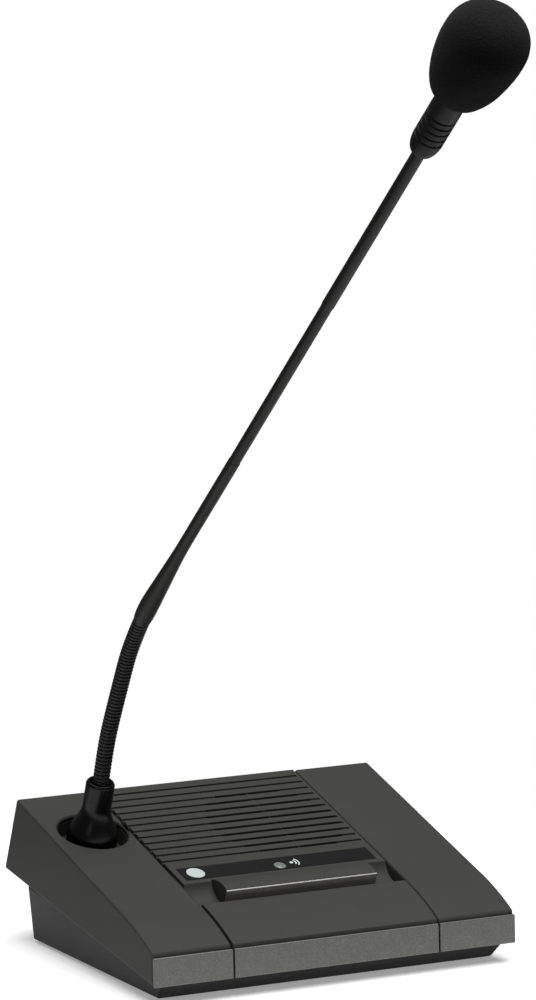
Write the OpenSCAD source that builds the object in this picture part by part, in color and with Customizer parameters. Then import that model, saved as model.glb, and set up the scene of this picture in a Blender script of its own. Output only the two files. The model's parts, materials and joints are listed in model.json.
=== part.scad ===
// Gooseneck podium microphone: a sloped desk base with a talk bar and a loudspeaker,
// and a gooseneck that leans forward from a well in the left cheek.
// Case frame: X to the talker's right, Y from the front edge to the back, Z up.
// Panel frame: the case frame turned onto the sloped top, X across, Y up the slope, Z out of it.

/* [Case] */
// Width of the base
base_w = 160; // [140:1:200]
// Level distance from the front edge to the top back edge
panel_d = 115.8; // [110:0.1:130]
// Slope of the top panel, degrees
panel_slope = 16.6; // [14:0.1:19]
// Height of the sloped plane over the case bottom, at the front edge
panel_h0 = 22.1; // [20:0.1:28]
// Level distance from the front edge to where the nose starts to roll down
nose_d = 24.7; // [18:0.1:26]
// Height of the front band's top edge
band_top = 18.8; // [16:0.1:19.5]
// Height of the front band's bottom edge, where the case halves part
band_bottom = 6.7; // [5:0.1:8]
// How far the back face leans, degrees from upright
back_lean = 19; // [10:0.5:22]
// Slope of the parting line between the case halves, degrees
parting_slope = 8.9; // [6:0.1:10]
// Wall of the upper mouldings
wall = 2.4; // [2:0.1:3]
// Wall of the lower case
low_wall = 2.4; // [2:0.1:3]
// Gap between neighbouring top mouldings
seam = 0.7; // [0.5:0.1:1]
// Distance of each seam from the middle of the base
seam_x = 45.5; // [43:0.5:60]
// Depth of the flanges along the seams
flange_d = 6; // [4:0.5:8]
// Thickness of the metallic front trims
trim_t = 1.2; // [0.8:0.1:1.6]
// Shadow line between the front trims and the top
trim_line = 0.8; // [0.5:0.1:1.2]

/* [Lower case] */
// How far the lower case is set in at its front top edge
low_front_in = 1.0; // [0.6:0.1:2]
// How far the foot of the front wall is set back
low_front_d = 7.5; // [5:0.5:10]
// Depth of the lower case at its foot, measured from the front edge
low_back_d = 112; // [108:0.5:125]
// How far the back wall of the lower case leans in towards its top
low_back_in = 4; // [2:0.5:6]
// How far each side of the lower case is set in at its foot
low_side_in = 5.8; // [4:0.1:8]
// Sideways lean of the lower case's side walls, degrees
low_draft = 11.5; // [8:0.5:13]
// Thickness of the non-slip mat
mat_t = 1; // [0.8:0.1:1.6]
// Width of the mat
mat_w = 132; // [120:1:150]
// Depth of the mat
mat_d = 90; // [80:1:94]
// Corner radius of the mat
mat_r = 6; // [3:1:10]
// Width of the ballast plate
ballast_w = 110; // [90:1:112]
// Depth of the ballast plate
ballast_d = 36; // [24:1:38]
// Thickness of the ballast plate
ballast_t = 8; // [4:0.5:9]

/* [Case screws] */
// Sideways place of the four outer screws
screw_x = 60; // [57:0.5:62]
// Place of the front row of screws, from the front edge
screw_front = 20; // [18:0.5:22]
// Place of the back row of screws, from the front edge
screw_back = 98; // [96:0.5:100]
// Place of the left cheek's back screw, ahead of the well
screw_left_back = 66; // [63:0.5:67]
// Sideways place of the centre panel's back screw
screw_mid_x = -33.6; // [-34:0.1:-33]
// Radius of a case screw's shank
screw_r = 1.45; // [1.2:0.05:1.7]
// Radius of a case screw's head
screw_head_r = 2.8; // [2.5:0.1:3.2]
// Height of a case screw's head
screw_head_h = 2; // [1.5:0.1:2.5]
// Length of a case screw's shank
screw_len = 14; // [11:0.5:15]
// Radius of the bosses that the case screws join
boss_r = 4.6; // [4.2:0.1:5]

/* [Grille] */
// Number of grooves across the centre panel
groove_n = 12; // [8:1:12]
// Spacing of the grooves along the slope
groove_pitch = 4.96; // [4:0.01:5]
// Width of a groove
groove_w = 1.4; // [0.9:0.1:2]
// Width of the slots that run on through the panel
slot_w = 1.6; // [0.9:0.05:1.8]
// Depth of a groove
groove_depth = 0.8; // [0.6:0.1:1.4]
// Place of the lowest groove, up the slope
groove_v0 = 61.1; // [60:0.1:63]
// Margin between the grooves' right ends and the panel's edge
groove_stop = 1; // [0.6:0.1:2]
// Gap between the loudspeaker and the right seam's flange
spk_side_gap = 0.15; // [0.15:0.05:16]
// Place of the loudspeaker's middle, up the slope
spk_v = 82.4; // [82:0.1:86]
// Radius of the area where the grooves are cut right through
slot_r = 27.3; // [20:0.1:28]
// Width of the bridge down the middle of the slots
bridge_w = 1.6; // [1.2:0.1:3]

/* [Loudspeaker] */
// Outer radius of the loudspeaker
spk_r = 26.4; // [22:0.1:26.6]
// Inner radius of its flange
spk_in_r = 21; // [18:0.1:21.5]
// Thickness of its sealing ring
gasket_t = 1.2; // [0.8:0.1:1.6]
// Thickness of the basket's flange
spk_flange_t = 1.5; // [1:0.1:2]
// Depth of the basket
spk_depth = 10; // [8:0.5:12]
// Radius of the magnet
magnet_r = 12; // [9:0.5:13]
// Height of the magnet
magnet_h = 6; // [4:0.5:7]
// Distance of the clamping screws outside its flange
spk_post_gap = 2.8; // [2.6:0.1:3.5]

/* [Talk bar] */
// Width of the talk bar
bar_w = 67; // [50:1:70]
// Sideways place of the bar's middle
bar_x = 1.2; // [-2:0.1:2]
// Place of the bar's front face, up the slope
bar_front = 31.6; // [31:0.1:33]
// Place of the bar's back edge, up the slope
bar_back = 43.5; // [42:0.1:43.6]
// Height of the bar's front top edge over the panel
bar_front_h = 1.74; // [1:0.1:2.5]
// Height of the bar's back edge over the panel
bar_back_h = 0.4; // [0.2:0.1:0.6]
// Rise of the bar's rounded top over its chord
bar_crown = 1.3; // [0.8:0.1:2]
// Depth of the bar's skirt under the panel
bar_skirt = 6.5; // [6:0.1:7]
// Wall of the bar
bar_wall = 1.6; // [1.2:0.1:2]
// Thickness of the metallic strip on the bar
strip_t = 0.6; // [0.4:0.1:0.8]
// Gap between the bar and its opening
bar_gap = 0.45; // [0.3:0.05:0.6]
// Place of the hinge, up the slope
hinge_v = 46.2; // [46:0.1:47]
// Depth of the hinge under the panel
hinge_w = 6; // [5.5:0.1:6.5]
// Radius of the hinge pins
pin_r = 1; // [0.8:0.05:1.2]
// Running clearance of the hinge
pin_fit = 0.05; // [0.03:0.01:0.08]
// Front edge of the scoop that the bar lies in, up the slope
scoop_front = 27.1; // [26.5:0.1:28]
// Back edge of the scoop, up the slope
scoop_back = 43.1; // [42:0.1:43.4]
// Depth of the scoop
scoop_depth = 4.5; // [3.5:0.1:5]

/* [Talk switches] */
// Distance of each talk switch from the bar's middle
switch_x = 19; // [14:0.5:22]
// Place of the talk switches, up the slope
switch_v = 37; // [36:0.1:38]
// Side of a talk switch
switch_s = 6; // [5:0.1:7]
// Height of a talk switch's body
switch_h = 3.5; // [3:0.1:4]
// Radius of a switch plunger
plunger_r = 1.7; // [1.4:0.1:2]
// Rise of a plunger over its switch
plunger_h = 1.6; // [1.4:0.1:2]
// Depth of the button board's top under the panel
button_w = 11.6; // [11.5:0.1:12.5]

/* [Label strip] */
// Width of the label window
label_w = 84.8; // [60:0.1:86]
// Front edge of the label window, up the slope
label_front = 45.6; // [45:0.1:47]
// Back edge of the label window, up the slope
label_back = 54.8; // [54:0.1:56]
// Thickness of the label window
label_t = 0.6; // [0.4:0.1:0.8]
// Sideways place of the round badge
badge_x = -36.2; // [-37:0.1:-20]
// Radius of the round badge
badge_r = 3.7; // [3:0.1:3.8]
// Radius of the status lens
lens_r = 2.4; // [1.5:0.1:2.8]
// Sideways place of the status lens
lens_x = 0.5; // [-5:0.1:5]
// Place of the status lens, up the slope
lens_v = 48.7; // [48.5:0.1:51]

/* [Microphone well] */
// Sideways place of the gooseneck
neck_x = -61.2; // [-61.4:0.1:-60.6]
// Place of the well's middle, up the slope
well_v = 90.1; // [86:0.1:94]
// Radius of the well
well_r = 14; // [13:0.1:14]
// Depth of the well
well_d = 8.6; // [8:0.1:10]
// Wall of the well's cup
cup_wall = 1.1; // [0.9:0.1:1.2]
// Radius of the plug
plug_r = 6.1; // [5.6:0.1:6.8]
// Length of the plug under its flange
plug_len = 15; // [12:0.5:16]
// Clearance between the plug and its socket
plug_fit = 0.1; // [0.05:0.01:0.15]

/* [Lock collar] */
// Radius of the collar's sleeve
collar_r = 5.7; // [5.6:0.05:6.2]
// Radius of the collar's skirt
skirt_r = 10; // [9.8:0.1:12.8]
// Height of the sleeve's top over the panel
collar_top = 21.9; // [20:0.1:24]
// Height where the sleeve meets the bell
bell_top = 11; // [9:0.1:12]
// Bore of the sleeve round the gooseneck
collar_bore = 4.3; // [4.2:0.05:4.5]
// Radius of the plug's stem that the collar turns on
stem_r = 4.9; // [4.7:0.05:4.95]
// Running clearance of the collar on the stem
collar_fit = 0.05; // [0.03:0.01:0.08]

/* [Gooseneck] */
// Radius of the gooseneck over its ribs
flex_r = 3.3; // [3:0.05:3.4]
// Number of links
link_n = 12; // [8:1:12]
// Length of a link, joint to joint
link_l = 6.33; // [6:0.01:6.6]
// Ribs on a link
rib_n = 3; // [2:1:3]
// Radius of a rib's round back
rib_r = 0.55; // [0.4:0.01:0.55]
// Radius of a link's core
core_r = 2.45; // [2.35:0.01:2.5]
// Radius of the ball under each link
ball_r = 1.9; // [1.8:0.01:1.9]
// Running clearance of a ball in its socket
ball_fit = 0.05; // [0.03:0.01:0.06]
// Radius of the lead's passage through the links
duct_r = 0.8; // [0.6:0.05:0.9]
// Lean of the first link, degrees
lean_start = 16; // [12:0.5:24]
// Even part of the lean gained along the gooseneck, degrees
lean_even = 10; // [0:0.5:16]
// Late part of the lean gained along the gooseneck, degrees
lean_late = 16; // [0:0.5:16]

/* [Rod] */
// Lean of the rod, degrees
rod_lean = 45.6; // [30:0.1:46]
// Radius of the rod
rod_r = 2.2; // [2:0.05:2.25]
// Bore of the rod
rod_bore = 1.3; // [1:0.05:1.5]
// Distance from the last joint to the microphone head
rod_len = 282.9; // [260:0.1:340]
// Largest radius of the transition sleeve
sleeve_r = 3.77; // [3.6:0.01:4]
// Radius of the transition sleeve's slim end
sleeve_slim = 2.37; // [2.3:0.01:2.6]
// Length of the transition sleeve
sleeve_len = 102.5; // [80:0.5:130]
// Length of the upper sleeve that shows under the head
upper_len = 87; // [60:0.5:100]
// Radius of the upper sleeve
upper_r = 2.4; // [2.3:0.01:2.6]
// Radius of the signal lead
lead_r = 0.75; // [0.5:0.05:0.8]

/* [Head] */
// Radius of the microphone head
head_r = 5.7; // [5:0.05:6.5]
// Length of the head's ribbed boot
boot_len = 20.8; // [18:0.1:25]
// Length of the boot's rounded tail
tail_len = 8; // [6:0.5:9]
// Number of grooves round the boot
boot_grooves = 4; // [2:1:4]
// Spacing of the boot's grooves
boot_pitch = 3; // [2.5:0.1:3]
// Length of the smooth barrel
barrel_len = 22; // [18:0.5:26]
// Length of the capsule's grille cap
cap_len = 14; // [11:0.5:16]
// Wall of the head's shells
head_wall = 0.9; // [0.7:0.05:1]
// Radius of the capsule
capsule_r = 4.3; // [3.6:0.05:4.6]
// Length of the capsule
capsule_len = 6; // [4:0.5:7]

/* [Windshield] */
// Largest radius of the foam windshield
foam_r = 15.5; // [13:0.1:18]
// Distance from the windshield's rear to its widest place
foam_rear = 26; // [22:0.5:30]
// Distance from the widest place to its front
foam_nose = 14; // [13:0.1:20]
// Length of barrel that shows under the windshield
foam_gap = 10.1; // [8:0.1:12]
// Clearance of the windshield's bore on the barrel
foam_fit = 0.05; // [0.03:0.01:0.1]

/* [Electronics] */
// Width of the main board
board_w = 88; // [70:1:90]
// Front edge of the main board
board_front = 66; // [64:1:68]
// Back edge of the main board
board_back = 106; // [104:0.5:107]
// Thickness of the boards
board_t = 1.6; // [1.2:0.1:2]
// Height of the main board over the case floor
board_z = 2.8; // [2:0.1:3]
// Distance of each bus socket from the middle
jack_x = 20; // [14:0.5:24]
// Width of a bus socket
jack_w = 16; // [15:0.1:17]
// Depth of a bus socket
jack_d = 18; // [16:0.5:20]
// Height of a bus socket
jack_h = 12.6; // [12.4:0.1:13]
// Width of a bus socket's cavity
cavity_w = 11.9; // [11.7:0.1:12.1]
// Height of a bus socket's cavity
cavity_h = 8.4; // [8:0.1:8.6]
// Depth of a bus socket's cavity
cavity_d = 13; // [12:0.1:14]

/* [Hidden] */

// Cuts run this far past the face they open
over = 1;
// Working gap between two pieces that lie face to face
lay = 0.05;
fn_big = 180;
fn_mid = 96;
fn_small = 48;

slope = panel_slope;
case_mid = (low_front_d + low_back_d) / 2;
panel_back = panel_d / cos(slope);
body_colour = "#484844";
side_colour = "#3a3a37";
dark_colour = "#1e1e1d";
metal_colour = "#8c8880";

// ---- outline of the upper half, as lines in the (depth, height) plane ----

// Meeting point of the line through p at angle a and the line through q at angle b
function meet(p, a, q, b) =
    let (da = [cos(a), sin(a)], db = [cos(b), sin(b)], r = q - p)
    p + da * (r[0] * db[1] - r[1] * db[0]) / (da[0] * db[1] - da[1] * db[0]);

front_top = [0, band_top];
front_bottom = [-(band_top - band_bottom) * tan(4), band_bottom];
back_top = [panel_d, panel_h0 + panel_d * tan(slope)];
band_angle = atan2(front_top[1] - front_bottom[1], front_top[0] - front_bottom[0]);
back_angle = 90 + back_lean;

// Height of the parting line at depth y
function parting(y) = front_bottom[1] + (y - front_bottom[0]) * tan(parting_slope);
// Height of the sloped plane at depth y
function plane_h(y) = panel_h0 + y * tan(slope);

// A point on each outline line, moved d into the body
function on_band(d) = front_bottom + d * [sin(band_angle), -cos(band_angle)];
function on_plane(d) = [0, panel_h0] + d * [sin(slope), -cos(slope)];
function on_back(d) = back_top - d * [cos(back_lean), sin(back_lean)];

// The nose is an arc that leaves the sloped plane smoothly and ends on the band's top edge
nose_start = [nose_d, plane_h(nose_d)];
nose_chord = front_top - nose_start;
nose_r = (nose_chord * nose_chord) / (2 * (nose_chord * [sin(slope), -cos(slope)]));
nose_centre = nose_start + nose_r * [sin(slope), -cos(slope)];

// Outline of the upper half, d inside its outer faces, open below the parting line by drop
module upper_outline(d = 0, front_d = 0, drop = 0) {
    fore = on_band(front_d);
    low_front = meet(fore, band_angle, front_bottom - [0, drop], parting_slope);
    low_back = meet(on_back(d), back_angle, front_bottom - [0, drop], parting_slope);
    high_back = meet(on_back(d), back_angle, on_plane(d), slope);
    high_front = meet(fore, band_angle, on_plane(d), slope);
    split = on_plane(d) + [cos(slope), sin(slope)] * (nose_start[0] / cos(slope));
    foot = meet(split, slope - 90, front_bottom - [0, drop], parting_slope);
    polygon([foot, low_back, high_back, split]);
    intersection() {
        polygon([low_front, foot, split, high_front]);
        translate(nose_centre) circle(r = nose_r - d, $fn = 360);
    }
}

// Band of the outline that follows the sloped top, depth deep
module rim_outline(depth) {
    difference() {
        upper_outline(0, trim_t + lay);
        translate([sin(slope), -cos(slope)] * depth) upper_outline(0, 0, 40);
    }
}

// Carries a (depth, height) outline from x0 to x1
module along_x(x0, x1) {
    translate([x0, 0, 0]) rotate([90, 0, 90]) linear_extrude(height = x1 - x0) children();
}

// Places the case frame over the mat, with the mat's middle on the origin
module in_case() {
    translate([0, -case_mid, mat_t]) children();
}

// Places the panel frame: X across, Y up the slope, Z out of the panel
module on_panel() {
    in_case() translate([0, 0, panel_h0]) rotate([slope, 0, 0]) children();
}

// Places the neck frame: Z along the gooseneck's first axis, from the panel's plane
module on_neck() {
    on_panel() translate([neck_x, well_v, 0]) children();
}

// ---- case ----

screw_places = [
    [-screw_x, screw_front], [-screw_x, screw_left_back],
    [screw_x, screw_front], [screw_x, screw_back],
    [0, screw_front - 4], [screw_mid_x, screw_back]];
// Height of each screw's seat, so that every screw has the same reach
function seat_z(y) = max(low_wall + 0.4, parting(y) - 5);
seat_wall = 2;

module low_outline(d = 0, lift = 0) {
    yf = low_front_in + d;
    polygon([
        [low_front_d + d, lift], [low_back_d - d, lift],
        [low_back_d - low_back_in - d, parting(low_back_d - low_back_in - d)],
        [yf, parting(yf)]]);
}

// Lower half as a block, d inside its outer faces
module low_block(d = 0, lift = 0) {
    foot = base_w / 2 - low_side_in - d;
    top = foot + 40 * tan(low_draft);
    intersection() {
        along_x(-base_w / 2, base_w / 2) low_outline(d, lift);
        rotate([90, 0, 0]) translate([0, 0, -low_back_d - over])
            linear_extrude(height = low_back_d + 2 * over)
                polygon([[-foot, 0], [foot, 0], [top, 40], [-top, 40]]);
        translate([-base_w / 2 + 0.8 + d, -over, -over])
            cube([base_w - 1.6 - 2 * d, low_back_d + 2 * over, 60]);
    }
}

module jack_windows() {
    for (sx = [-1, 1])
        translate([sx * jack_x - jack_w / 2 - 0.2, low_back_d - 12, board_top - 0.1])
            cube([jack_w + 0.4, 20, jack_h + 0.3]);
}

board_top = low_wall + board_z + board_t;
board_post_places = [for (sx = [-1, 1], y = [board_front + 5, board_back - 13])
    [sx * (board_w / 2 - 4), y]];
ballast_front = screw_front + 5;
ballast_places = [for (sx = [-1, 1]) [sx * (ballast_w / 2 - 6), ballast_front + ballast_d / 2]];
small_r = 1.1;
small_head_r = 2.1;
small_head_h = 1.3;

module bottom_case() color(dark_colour) in_case() difference() {
    union() {
        difference() {
            low_block();
            difference() {
                low_block(low_wall, low_wall);
                for (p = screw_places) translate([p[0], p[1], 0])
                    cylinder(r = boss_r, h = parting(p[1]), $fn = fn_small);
            }
            // the parting face stays clear of the upper mouldings
            along_x(-base_w, base_w)
                polygon([for (y = [-5, 130]) [y, parting(y) - lay], [130, 80], [-5, 80]]);
        }
        for (p = board_post_places) translate([p[0], p[1], low_wall - lay])
            cylinder(r = 3, h = board_z + lay, $fn = fn_small);
    }
    for (p = screw_places) translate([p[0], p[1], -over]) {
        cylinder(r = screw_r + 0.15, h = 60, $fn = fn_small);
        cylinder(r = screw_head_r + 0.3, h = seat_z(p[1]) - seat_wall + over, $fn = fn_small);
    }
    for (p = board_post_places) translate([p[0], p[1], low_wall - 1])
        cylinder(r = small_r + lay, h = 20, $fn = fn_small);
    for (p = ballast_places) translate([p[0], p[1], -over])
        cylinder(r = small_r + 0.2, h = 20, $fn = fn_small);
    for (p = ballast_places) translate([p[0], p[1], -over])
        cylinder(r1 = small_head_r + 1, r2 = small_head_r + 0.2, h = over + small_head_h,
            $fn = fn_small);
    jack_windows();
}

module non_slip_mat() color("#101010") difference() {
    x = mat_w / 2 - mat_r;
    y = mat_d / 2 - mat_r;
    union() {
        translate([-x, -mat_d / 2, 0]) cube([2 * x, mat_d, mat_t]);
        translate([-mat_w / 2, -y, 0]) cube([mat_w, 2 * y, mat_t]);
        for (sx = [-1, 1], sy = [-1, 1]) translate([sx * x, sy * y, 0])
            cylinder(r = mat_r, h = mat_t, $fn = fn_small);
    }
    for (p = concat(screw_places, ballast_places)) translate([p[0], p[1] - case_mid, -over])
        cylinder(r = screw_head_r + 0.8, h = mat_t + 2 * over, $fn = fn_small);
}

module ballast_plate() color("#6f7072") in_case() difference() {
    translate([-ballast_w / 2, ballast_front, low_wall])
        cube([ballast_w, ballast_d, ballast_t]);
    for (p = ballast_places) translate([p[0], p[1], low_wall - over])
        cylinder(r = small_r + lay, h = ballast_t + 2 * over, $fn = fn_small);
}

module ballast_screws() color("silver") in_case()
    for (p = ballast_places) translate([p[0], p[1], 0.1]) {
        cylinder(r = small_head_r, h = small_head_h - 0.2, $fn = fn_small);
        cylinder(r = small_r, h = low_wall + ballast_t - 1, $fn = fn_small);
    }

module case_screws() color("silver") in_case()
    for (p = screw_places) translate([p[0], p[1], seat_z(p[1]) - seat_wall]) {
        translate([0, 0, -screw_head_h]) difference() {
            cylinder(r = screw_head_r, h = screw_head_h, $fn = fn_small);
            // cross recess
            for (a = [0, 90]) rotate(a)
                translate([-1.6, -0.35, -over]) cube([3.2, 0.7, over + 1]);
        }
        cylinder(r = screw_r, h = screw_len, $fn = fn_small);
    }

// Bosses of an upper moulding that meet the lower case's bosses
module upper_bosses(places) {
    for (p = places) intersection() {
        translate([p[0], p[1], 0]) cylinder(r = boss_r, h = 80, $fn = fn_small);
        along_x(-base_w, base_w) upper_outline(wall / 2, trim_t + 0.6);
    }
}

module upper_boss_bores(places) {
    for (p = places) translate([p[0], p[1], 0])
        cylinder(r = screw_r + lay, h = seat_z(p[1]) - seat_wall + screw_len + 0.5,
            $fn = fn_small);
}

// One upper moulding from x0 to x1: open inside, with a side wall or a flange at each edge
module upper_shell(x0, x1, left_wall, right_wall, places) {
    difference() {
        union() {
            difference() {
                along_x(x0, x1) upper_outline(0, trim_t + lay);
                along_x(x0 - over, x1 + over) upper_outline(wall, wall + trim_t, 40);
            }
            along_x(x0, x0 + wall) union() {
                if (left_wall) upper_outline(0, trim_t + lay);
                if (!left_wall) rim_outline(flange_d);
            }
            along_x(x1 - wall, x1) union() {
                if (right_wall) upper_outline(0, trim_t + lay);
                if (!right_wall) rim_outline(flange_d);
            }
            upper_bosses(places);
        }
        upper_boss_bores(places);
    }
}

module left_cheek() color(body_colour) difference() {
    in_case() upper_shell(-base_w / 2, -seam_x - seam / 2, true, false,
        [screw_places[0], screw_places[1]]);
    on_neck() translate([0, 0, -40]) cylinder(r = well_r, h = 60, $fn = fn_big);
    on_neck() translate([0, 0, -40 - wall])
        cylinder(r = well_r + cup_wall + lay, h = 40, $fn = fn_big);
}

module right_cheek() color(body_colour)
    in_case() upper_shell(seam_x + seam / 2, base_w / 2, false, true,
        [screw_places[2], screw_places[3]]);

// ---- centre panel ----

panel_x = seam_x - seam / 2;
spk_x = panel_x - wall - spk_side_gap - spk_r;
scoop_half = (scoop_back - scoop_front) / 2;
scoop_r = (scoop_half * scoop_half + scoop_depth * scoop_depth) / (2 * scoop_depth);
scoop_mid = [scoop_front + scoop_half, scoop_r - scoop_depth];
scoop_wall = 1.8;
// The scoop's own wall stops this far short of the seams
scoop_end = 0.4;
arm_w = 3;
arm_x = [bar_x - bar_w / 2 + 6, bar_x + bar_w / 2 - 6];
ear_w = 2;
ear_gap = 0.3;
// Half of a hinge pin's length, to the outer faces of its two ears
pin_half = arm_w / 2 + ear_gap + ear_w;
button_posts = [for (sx = [-1, 1], v = [label_front - 10, label_back - 2.6])
    [sx * (panel_x - 7), v]];
spk_post_r = spk_r + spk_post_gap;
spk_posts = [for (a = [45 : 90 : 315])
    [spk_x + spk_post_r * cos(a), spk_v + spk_post_r * sin(a)]];
spk_post_boss = 2.4;
clamp_w = wall + gasket_t + spk_flange_t;

// Round bar along X at a place in the panel frame
module x_rod(v, w, r, x0, x1) {
    translate([x0, v, w]) rotate([0, 90, 0]) cylinder(r = r, h = x1 - x0, $fn = fn_mid);
}

module grooves() {
    for (i = [0 : groove_n - 1]) {
        v = groove_v0 + i * groove_pitch;
        half = sqrt(max(0, slot_r * slot_r - (v - spk_v) * (v - spk_v)));
        translate([-panel_x - over, v - groove_w / 2, -groove_depth])
            cube([2 * panel_x + over - groove_stop, groove_w, groove_depth + over]);
        if (half > 4) for (side = [-1, 1])
            translate([spk_x + (side < 0 ? -half : bridge_w / 2),
                v - slot_w / 2, -wall - over])
                cube([min(half - bridge_w / 2, panel_x - wall - spk_x - 0.4 + (side < 0 ? 99 : 0)),
                    slot_w, wall + 2 * over]);
    }
}

module hinge_ears() {
    for (x = arm_x, side = [-1, 1])
        translate([x + side * (arm_w / 2 + ear_gap + ear_w / 2) - ear_w / 2, 0, 0])
            intersection() {
                translate([0, hinge_v - 2.2, -hinge_w - 2.2]) cube([ear_w, 4.4, hinge_w + 1]);
                union() {
                    translate([0, hinge_v - 2.2, -hinge_w]) cube([ear_w, 4.4, hinge_w]);
                    x_rod(hinge_v, -hinge_w, 2.2, 0, ear_w);
                }
            }
}

module centre_panel() color(body_colour) difference() {
    union() {
        in_case() upper_shell(-panel_x, panel_x, false, false,
            [screw_places[4], screw_places[5]]);
        on_panel() {
            intersection() {
                x_rod(scoop_mid[0], scoop_mid[1], scoop_r + scoop_wall,
                    -panel_x + scoop_end, panel_x - scoop_end);
                translate([-panel_x, scoop_front - 4, -scoop_depth - 4])
                    cube([2 * panel_x, 24, scoop_depth + 4 - wall / 2]);
            }
            hinge_ears();
            for (p = button_posts) translate([p[0], p[1], -button_w + lay])
                cylinder(r = 2.6, h = button_w - wall / 2, $fn = fn_small);
            for (p = spk_posts) translate([p[0], p[1], -clamp_w])
                cylinder(r = spk_post_boss, h = clamp_w - wall / 2, $fn = fn_small);
        }
    }
    on_panel() {
        x_rod(scoop_mid[0], scoop_mid[1], scoop_r, -panel_x - over, panel_x + over);
        translate([bar_x - bar_w / 2 - bar_gap, bar_front - bar_gap, -20])
            cube([bar_w + 2 * bar_gap, bar_back - bar_front + 2 * bar_gap, 20 + over]);
        grooves();
        translate([-label_w / 2 - 0.1, label_front - 0.1, -label_t])
            cube([label_w + 0.2, label_back - label_front + 0.2, label_t + over]);
        translate([lens_x, lens_v, -wall - over])
            cylinder(r = lens_r + lay, h = wall + 2 * over, $fn = fn_small);
        for (x = arm_x)
            x_rod(hinge_v, -hinge_w, pin_r, x - pin_half - over, x + pin_half + over);
        for (p = button_posts) translate([p[0], p[1], -button_w - over])
            cylinder(r = small_r + lay, h = 7 + over, $fn = fn_small);
        for (p = spk_posts) translate([p[0], p[1], -clamp_w - over])
            cylinder(r = small_r + lay, h = clamp_w - 1 + over, $fn = fn_small);
    }
}

trim_top = [0, band_top - trim_line];
module front_trim(x0, x1) {
    color(metal_colour) in_case() along_x(x0, x1) polygon([
        front_bottom, meet(on_band(trim_t), band_angle, front_bottom, parting_slope),
        meet(on_band(trim_t), band_angle, trim_top, 0), meet(on_band(0), band_angle, trim_top, 0)]);
}

module left_front_trim() front_trim(-base_w / 2, -seam_x - seam / 2);
module centre_front_trim() front_trim(-panel_x, panel_x);
module right_front_trim() front_trim(seam_x + seam / 2, base_w / 2);

// ---- label strip ----

badge_v = (label_front + label_back) / 2;

module label_window() color("#1a1a1a") on_panel() difference() {
    translate([-label_w / 2, label_front, -label_t])
        cube([label_w, label_back - label_front, label_t]);
    translate([badge_x, badge_v, -label_t - over])
        cylinder(r = badge_r + lay, h = label_t + 2 * over, $fn = fn_small);
    translate([lens_x, lens_v, -label_t - over])
        cylinder(r = lens_r + lay, h = label_t + 2 * over, $fn = fn_small);
}

module badge_disc() color("#e6eeee") on_panel() translate([badge_x, badge_v, -label_t])
    cylinder(r = badge_r, h = label_t + 0.1, $fn = fn_small);

lens_rise = 0.25;
module status_lens() color("#b9c2bd") on_panel() translate([lens_x, lens_v, 0])
    rotate_extrude($fn = fn_small) union() {
        translate([0, -wall - 2]) square([lens_r, wall + 2]);
        intersection() {
            translate([0, -lens_r * 3.5 + lens_rise]) circle(r = lens_r * 3.5, $fn = fn_big);
            square([lens_r, 1]);
        }
        translate([0, -wall - 3]) square([lens_r + 0.9, 1]);
    }

module led_emitter() color("#d8e0d8") on_panel() translate([lens_x, lens_v, -button_w]) {
    cylinder(r = 1.9, h = 1, $fn = fn_small);
    cylinder(r = 1.5, h = 4, $fn = fn_small);
    translate([0, 0, 4]) sphere(r = 1.5, $fn = fn_small);
}

// ---- talk bar ----

bar_chord = [bar_back - bar_front, bar_back_h - bar_front_h];
chord_len = sqrt(bar_chord * bar_chord);
crown_r = (chord_len * chord_len / 4 + bar_crown * bar_crown) / (2 * bar_crown);
chord_n = [-bar_chord[1], bar_chord[0]] / chord_len;
crown_mid = [bar_front, bar_front_h] + bar_chord / 2 - chord_n * (crown_r - bar_crown);

module bar_outline(d = 0) {
    intersection() {
        translate([bar_front + strip_t + d, -bar_skirt - (d > 0 ? 9 : 0)])
            square([bar_back - bar_front - strip_t - 2 * d, 40]);
        translate(crown_mid) circle(r = crown_r - d, $fn = fn_big);
    }
}

// Depth of the ribs that meet the plungers
rib_w = button_w - switch_h - plunger_h - lay;

module talk_bar() color(body_colour) on_panel() difference() {
    union() {
        difference() {
            along_x(bar_x - bar_w / 2, bar_x + bar_w / 2) bar_outline();
            along_x(bar_x - bar_w / 2 + bar_wall, bar_x + bar_w / 2 - bar_wall)
                bar_outline(bar_wall);
        }
        // ribs that press the plungers
        for (side = [-1, 1]) intersection() {
            translate([bar_x + side * switch_x - 0.8, bar_front + strip_t + 0.2, -rib_w])
                cube([1.6, bar_back - bar_front - strip_t - 0.4, rib_w + 2]);
            along_x(-base_w, base_w) bar_outline();
        }
        // hinge arms, under the panel
        for (x = arm_x) {
            translate([x - arm_w / 2, bar_back - bar_wall, -hinge_w])
                cube([arm_w, hinge_v - bar_back + bar_wall, 1.8]);
            x_rod(hinge_v, -hinge_w, 1.9, x - arm_w / 2, x + arm_w / 2);
        }
    }
    for (x = arm_x) x_rod(hinge_v, -hinge_w, pin_r + pin_fit, x - arm_w, x + arm_w);
}

module talk_bar_trim() color(metal_colour) on_panel()
    along_x(bar_x - bar_w / 2, bar_x + bar_w / 2)
        polygon([
            [bar_front, -bar_skirt + 1], [bar_front + strip_t - 0.01, -bar_skirt + 1],
            [bar_front + strip_t - 0.01, bar_front_h + 0.05], [bar_front, bar_front_h - 0.15]]);

module talk_bar_pins() color("silver") on_panel()
    for (x = arm_x)
        x_rod(hinge_v, -hinge_w, pin_r, x - pin_half, x + pin_half);

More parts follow.
